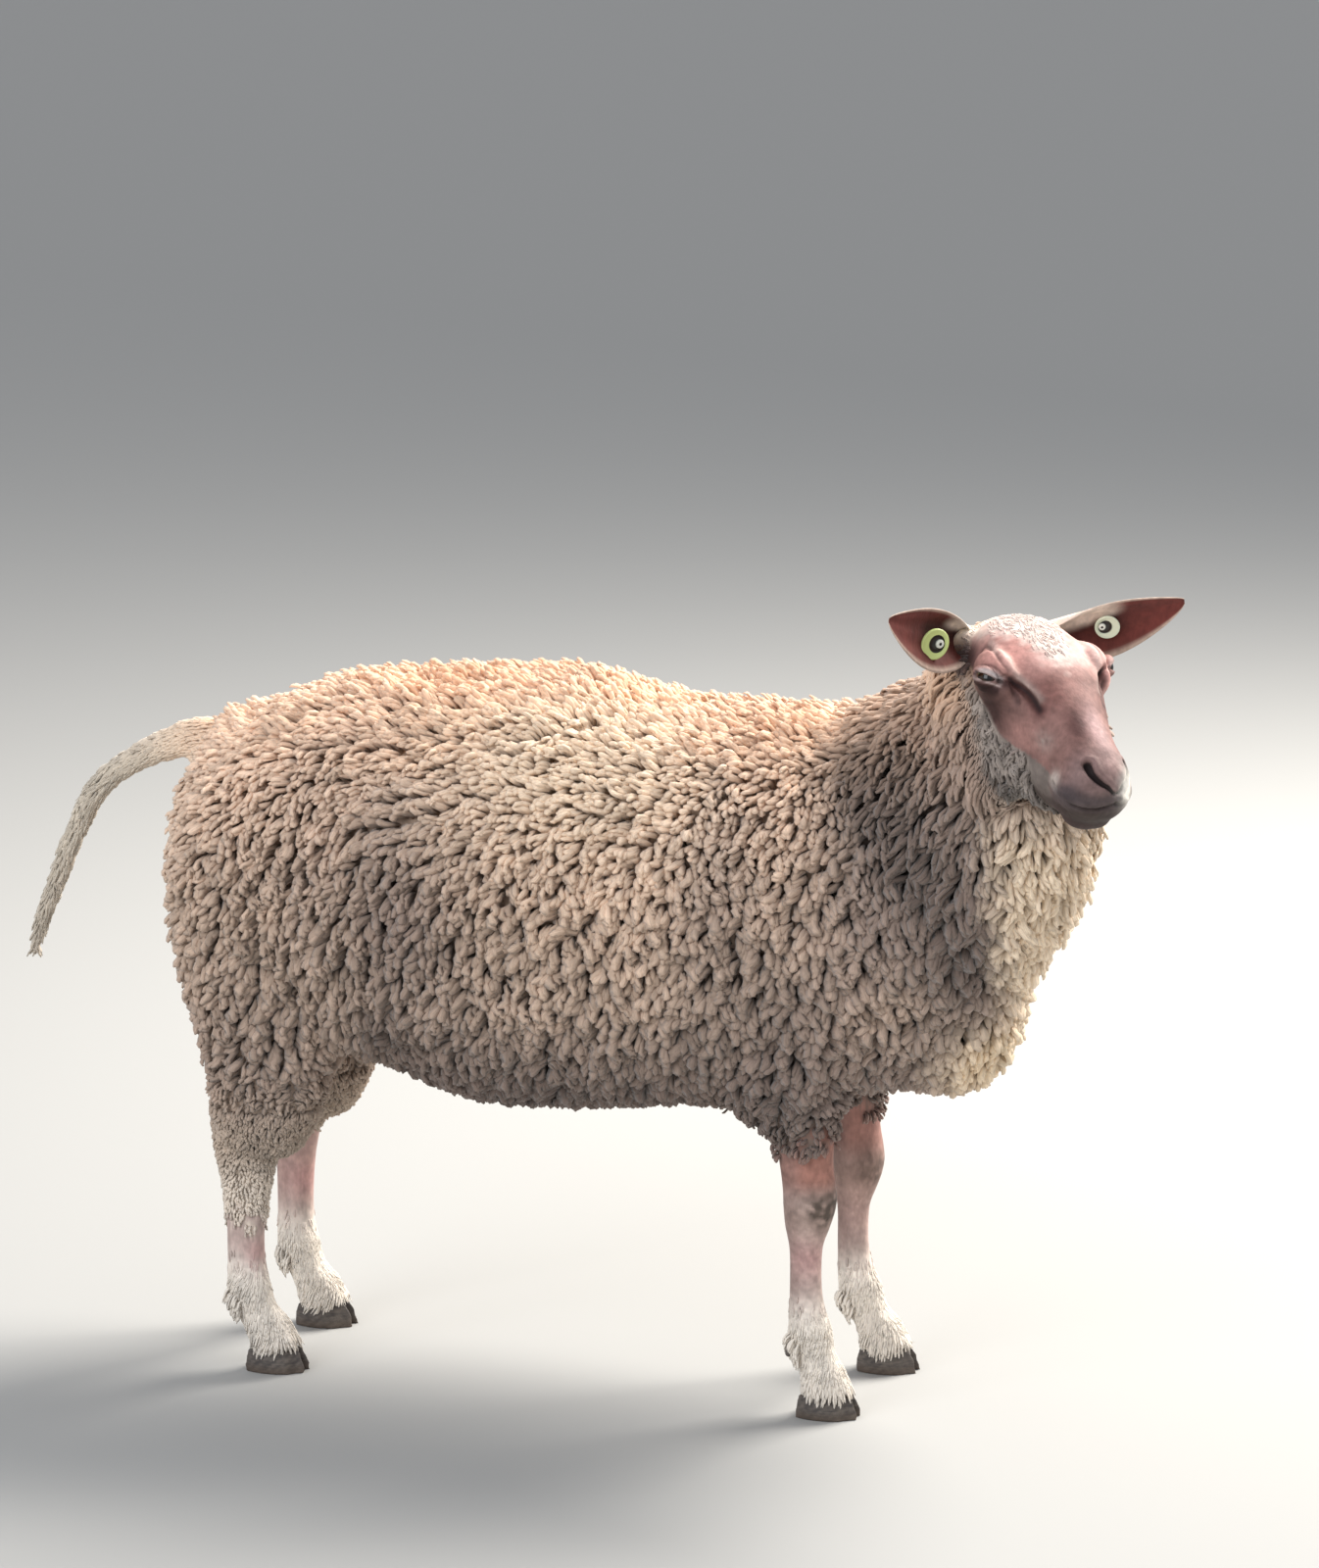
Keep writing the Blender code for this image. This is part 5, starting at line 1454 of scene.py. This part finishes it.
def mottled(finish, scale, strength, bump, distance):
    """Adds the nap of short hair: noise in body space, which shades the colour and raises the surface."""
    nodes, links = finish.node_tree.nodes, finish.node_tree.links
    place = nodes.new("ShaderNodeTexCoord").outputs["Object"]
    nap = noise_at(finish, place, scale, 4.0)
    both = nodes.new("ShaderNodeMath")
    both.operation = "ADD"
    links.new(nap, both.inputs[0])
    links.new(noise_at(finish, place, (70, 70, 70), 3.0), both.inputs[1])
    shade_by(finish, both.outputs["Value"], (0.7, 1.3), (1 - strength, 1 + strength))
    raise_by(finish, nap, bump, distance)


WOOL_FINISH = finish_of("wool", 0.92, 0.25, 0.3)
streaked(WOOL_FINISH, (14, 3, 1), 0.22, 0.5, 0.0012)
SKIN_FINISH = finish_of("short_haired_skin", 0.66, 0.03, 0.22)
mottled(SKIN_FINISH, (300, 300, 170), 0.16, 0.35, 0.0010)

skin, earless = make_skin()
hand_over(skin, BODY_NODES + BARE_NODES)
skin.data.materials.clear()
skin.data.materials.append(SKIN_FINISH)
make_fleece(earless)
bpy.data.objects.remove(earless, do_unlink=True)

# --- eyes and ear tags --------------------------------------------------------------------------


def make_eye(side):
    """An eyeball: centre + direction * (radius + a low bulge of the cornea), coloured by direction."""
    s = SIDES[side]
    along, up, out = (HEAD_TURN @ axis for axis in eye_axes(s))
    rings, sides = 60, 72
    tilt = np.linspace(0.0, math.pi, rings + 2)[1:-1, None]
    turn = np.linspace(0, 2 * math.pi, sides, endpoint=False)[None]
    way = (
        out * np.cos(tilt)[..., None]
        + along * (np.sin(tilt) * np.cos(turn))[..., None]
        + up * (np.sin(tilt) * np.sin(turn))[..., None]
    ).reshape(-1, 3)
    bulge = 0.0009 * bell(np.arccos(np.clip(way @ out, -1, 1)), 0.50)
    points = eye_centres[side] + way * (EYE_RADIUS - 0.0004 + bulge)[:, None]
    eye = tube("eyeball_" + side, points, rings, sides)
    a, b = way @ along * EYE_RADIUS, way @ up * EYE_RADIUS
    iris = np.hypot(a, b) / IRIS_RADIUS
    pupil = 1 - ramp(np.hypot(a / 0.0052, b / 0.0024), 0.85, 1.05)
    layers = [
        (tint(30, 20, 15), ramp(iris, 0.65, 1.0)),
        (tint(96, 76, 66), ramp(iris, 1.15, 1.35)),
        (tint(8, 8, 12), pupil * (way @ out > 0)),
    ]
    give_tone(eye, painted(plain(tint(50, 34, 22), len(points)), layers))
    eye.data.materials.append(EYE_FINISH)
    hand_over(eye, ["eye_" + side])


def round_claws():
    """Claws and dewclaws with their facets worn round: a close surface round a copy of each, evened out."""
    for end, side in LEGS:
        for kind in ("claw", "dewclaw"):
            nodes = [f"{end}_{side}_{kind}_{place}" for place in ("inner", "outer")]
            horn = joined(f"{end}_{side}_{kind}s", [copy_of(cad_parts[node]) for node in nodes])
            fuse(horn, HORN_VOXEL, 7, 0.6)
            p = points_of(horn) - BODY_ORIGIN
            p[:, 2] = np.maximum(p[:, 2], 0.0)
            put_points(horn, p + BODY_ORIGIN)
            layers = [
                (tint(128, 118, 108), 0.55 * (0.5 + 0.5 * wander(p * (1, 1, 4), 0.010, 51, 16))),
                (tint(92, 78, 66), 0.6 * (1 - ramp(p[:, 2], 0.003, 0.012))),
            ]
            give_tone(horn, painted(plain(tint(66, 60, 58), len(p)), layers))
            horn.data.materials.clear()
            horn.data.materials.append(HORN_FINISH)
            hand_over(horn, nodes)


def make_tag(side):
    """A round button tag: a rim, a flat ring, a well and a pale stud, with painted shade in the well and in
    the stud's eye, turned about the pin's axis.

    Each point is centre + axis * height + r * (right cos u + up sin u) + inward * aside, over the r and
    height of TAG_PROFILE. The well and the stud sit aside of the rim's middle, towards the head.
    """
    nodes = ["ear_tag_ring_" + side, "ear_tag_pin_" + side]
    cloud = points_of(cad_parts[nodes[0]])
    centre = (cloud.max(axis=0) + cloud.min(axis=0)) / 2
    axis = np.linalg.svd(cloud - cloud.mean(axis=0), full_matrices=False)[2][2]
    forward = HEAD_TURN[:, 0] - HEAD_TURN[:, 1] * 0.2
    axis = axis * np.sign(axis @ forward)
    axis = unit(axis + TAG_TURN[side] * forward)
    centre = centre + axis * TAG_LIFT[side] - HEAD_TURN[:, 2] * TAG_DROP[side]
    # painted shade in the well and in the stud's eye
    tones = [TAG_TONE[side]] * 9 + [TAG_DARK] * 2 + [TAG_WHITE] * 3 + [TAG_DARK] * 3
    rings, sides = len(TAG_PROFILE), 64
    aside = np.interp(np.arange(rings), (0, 6, 9, 10, 16), (0.0, 0.0, 0.0030, 0.0052, 0.0052))
    right = unit(np.cross(axis, (0.0, 0.0, 1.0)))
    up = np.cross(right, axis)
    turn = np.linspace(0, 2 * math.pi, sides, endpoint=False)
    spoke = right * np.cos(turn)[:, None] + up * np.sin(turn)[:, None]
    inward = -SIDES[side] * HEAD_TURN[:, 1]
    inward = unit(inward - axis * (inward @ axis))
    points = centre + TAG_PROFILE[:, None, 1:] * axis + TAG_PROFILE[:, None, :1] * spoke * TAG_SIZE[side]
    points = points + aside[:, None, None] * inward
    tag = tube("ear_tag_" + side, points.reshape(-1, 3), rings, sides)
    give_tone(tag, np.repeat(np.array(tones), sides, axis=0))
    tag.data.materials.append(TAG_FINISH)
    hand_over(tag, nodes)


TAG_PROFILE = np.array([
    # r and height: back, rim, flat ring, down into the well, up the stud and into its eye
    (0.0002, -0.0012), (0.0142, -0.0012), (0.0148, -0.0006), (0.0148, 0.0006), (0.0142, 0.0012),
    (0.0132, 0.0013), (0.0128, 0.0009), (0.0092, 0.0009), (0.0087, 0.0006), (0.0085, -0.0004),
    (0.0044, -0.0004), (0.0040, 0.0016), (0.0032, 0.0024), (0.0016, 0.0024), (0.0013, 0.0018),
    (0.0011, 0.0004), (0.0002, 0.0004),
])
IRIS_RADIUS = 0.0085
LIME, TAG_DARK, TAG_WHITE = tint(216, 230, 150), tint(34, 26, 22), tint(236, 238, 226)
# How far each tag is turned to the front, raised off its solid and lowered, and its share of full size.
TAG_TURN = {"right": 1.8, "left": 0.10}
TAG_LIFT = {"right": 0.004, "left": 0.001}
TAG_DROP = {"right": 0.005, "left": 0.000}
TAG_SIZE = {"right": 1.06, "left": 0.84}
TAG_TONE = {"right": LIME, "left": tint(224, 232, 206)}
TAG_FINISH = finish_of("tag_plastic", 0.35)
EYE_FINISH = finish_of("eyeball", 0.06)
HORN_FINISH = finish_of("horn", 0.55)
mottled(HORN_FINISH, (500, 500, 900), 0.20, 0.4, 0.0006)
round_claws()
for side in SIDES:
    make_tag(side)
for side in SIDES:
    make_eye(side)

# --- studio -------------------------------------------------------------------------------------

# What the camera and the lights face, and where the camera stands from there.
TARGET = BODY_ORIGIN + np.array((0, 0, 0.624))
VIEW_AZIMUTH, VIEW_ELEVATION, VIEW_DISTANCE = math.radians(17.0), math.radians(9.9), 5.8


def area_light(name, place, size, power, colour):
    """A square soft light that faces the ewe."""
    light = bpy.data.lights.new(name, "AREA")
    light.size = size
    light.energy = power
    light.color = colour
    thing = bpy.data.objects.new(name, light)
    thing.location = place
    thing.rotation_euler = (Vector(TARGET) - Vector(place)).to_track_quat("-Z", "Y").to_euler()
    bpy.context.scene.collection.objects.link(thing)


FLOOR_HALF = 80.0
corners = np.array([(-1, -1, 0), (1, -1, 0), (1, 1, 0), (-1, 1, 0)]) * FLOOR_HALF
floor = object_from("floor", corners, [[0, 1, 2, 3]])
floor_finish = bpy.data.materials.new("pale_floor")
floor_finish.use_nodes = True
floor_shader = floor_finish.node_tree.nodes["Principled BSDF"]
floor_shader.inputs["Base Color"].default_value = (0.42, 0.42, 0.41, 1)
floor_shader.inputs["Roughness"].default_value = 0.9
floor.data.materials.append(floor_finish)

world = bpy.data.worlds.new("studio")
world.use_nodes = True
sky = world.node_tree.nodes["Background"]
sky.inputs["Color"].default_value = (0.86, 0.88, 0.92, 1)
sky.inputs["Strength"].default_value = 0.65
bpy.context.scene.world = world
area_light("key", (2.0, 2.8, 3.8), 2.8, 560, (1.0, 0.95, 0.88))
area_light("fill", (-1.5, -4.0, 2.6), 3.0, 110, (0.95, 0.97, 1.0))

lens = bpy.data.cameras.new("camera")
lens.sensor_fit = "VERTICAL"
lens.sensor_height = 24
lens.lens = 87
camera = bpy.data.objects.new("camera", lens)
back = Vector(
    (
        math.sin(VIEW_AZIMUTH) * math.cos(VIEW_ELEVATION),
        -math.cos(VIEW_AZIMUTH) * math.cos(VIEW_ELEVATION),
        math.sin(VIEW_ELEVATION),
    )
)
camera.location = Vector(TARGET) + back * VIEW_DISTANCE
camera.rotation_euler = back.to_track_quat("Z", "Y").to_euler()
bpy.context.scene.collection.objects.link(camera)
bpy.context.scene.camera = camera
bpy.context.scene.view_settings.view_transform = "Standard"
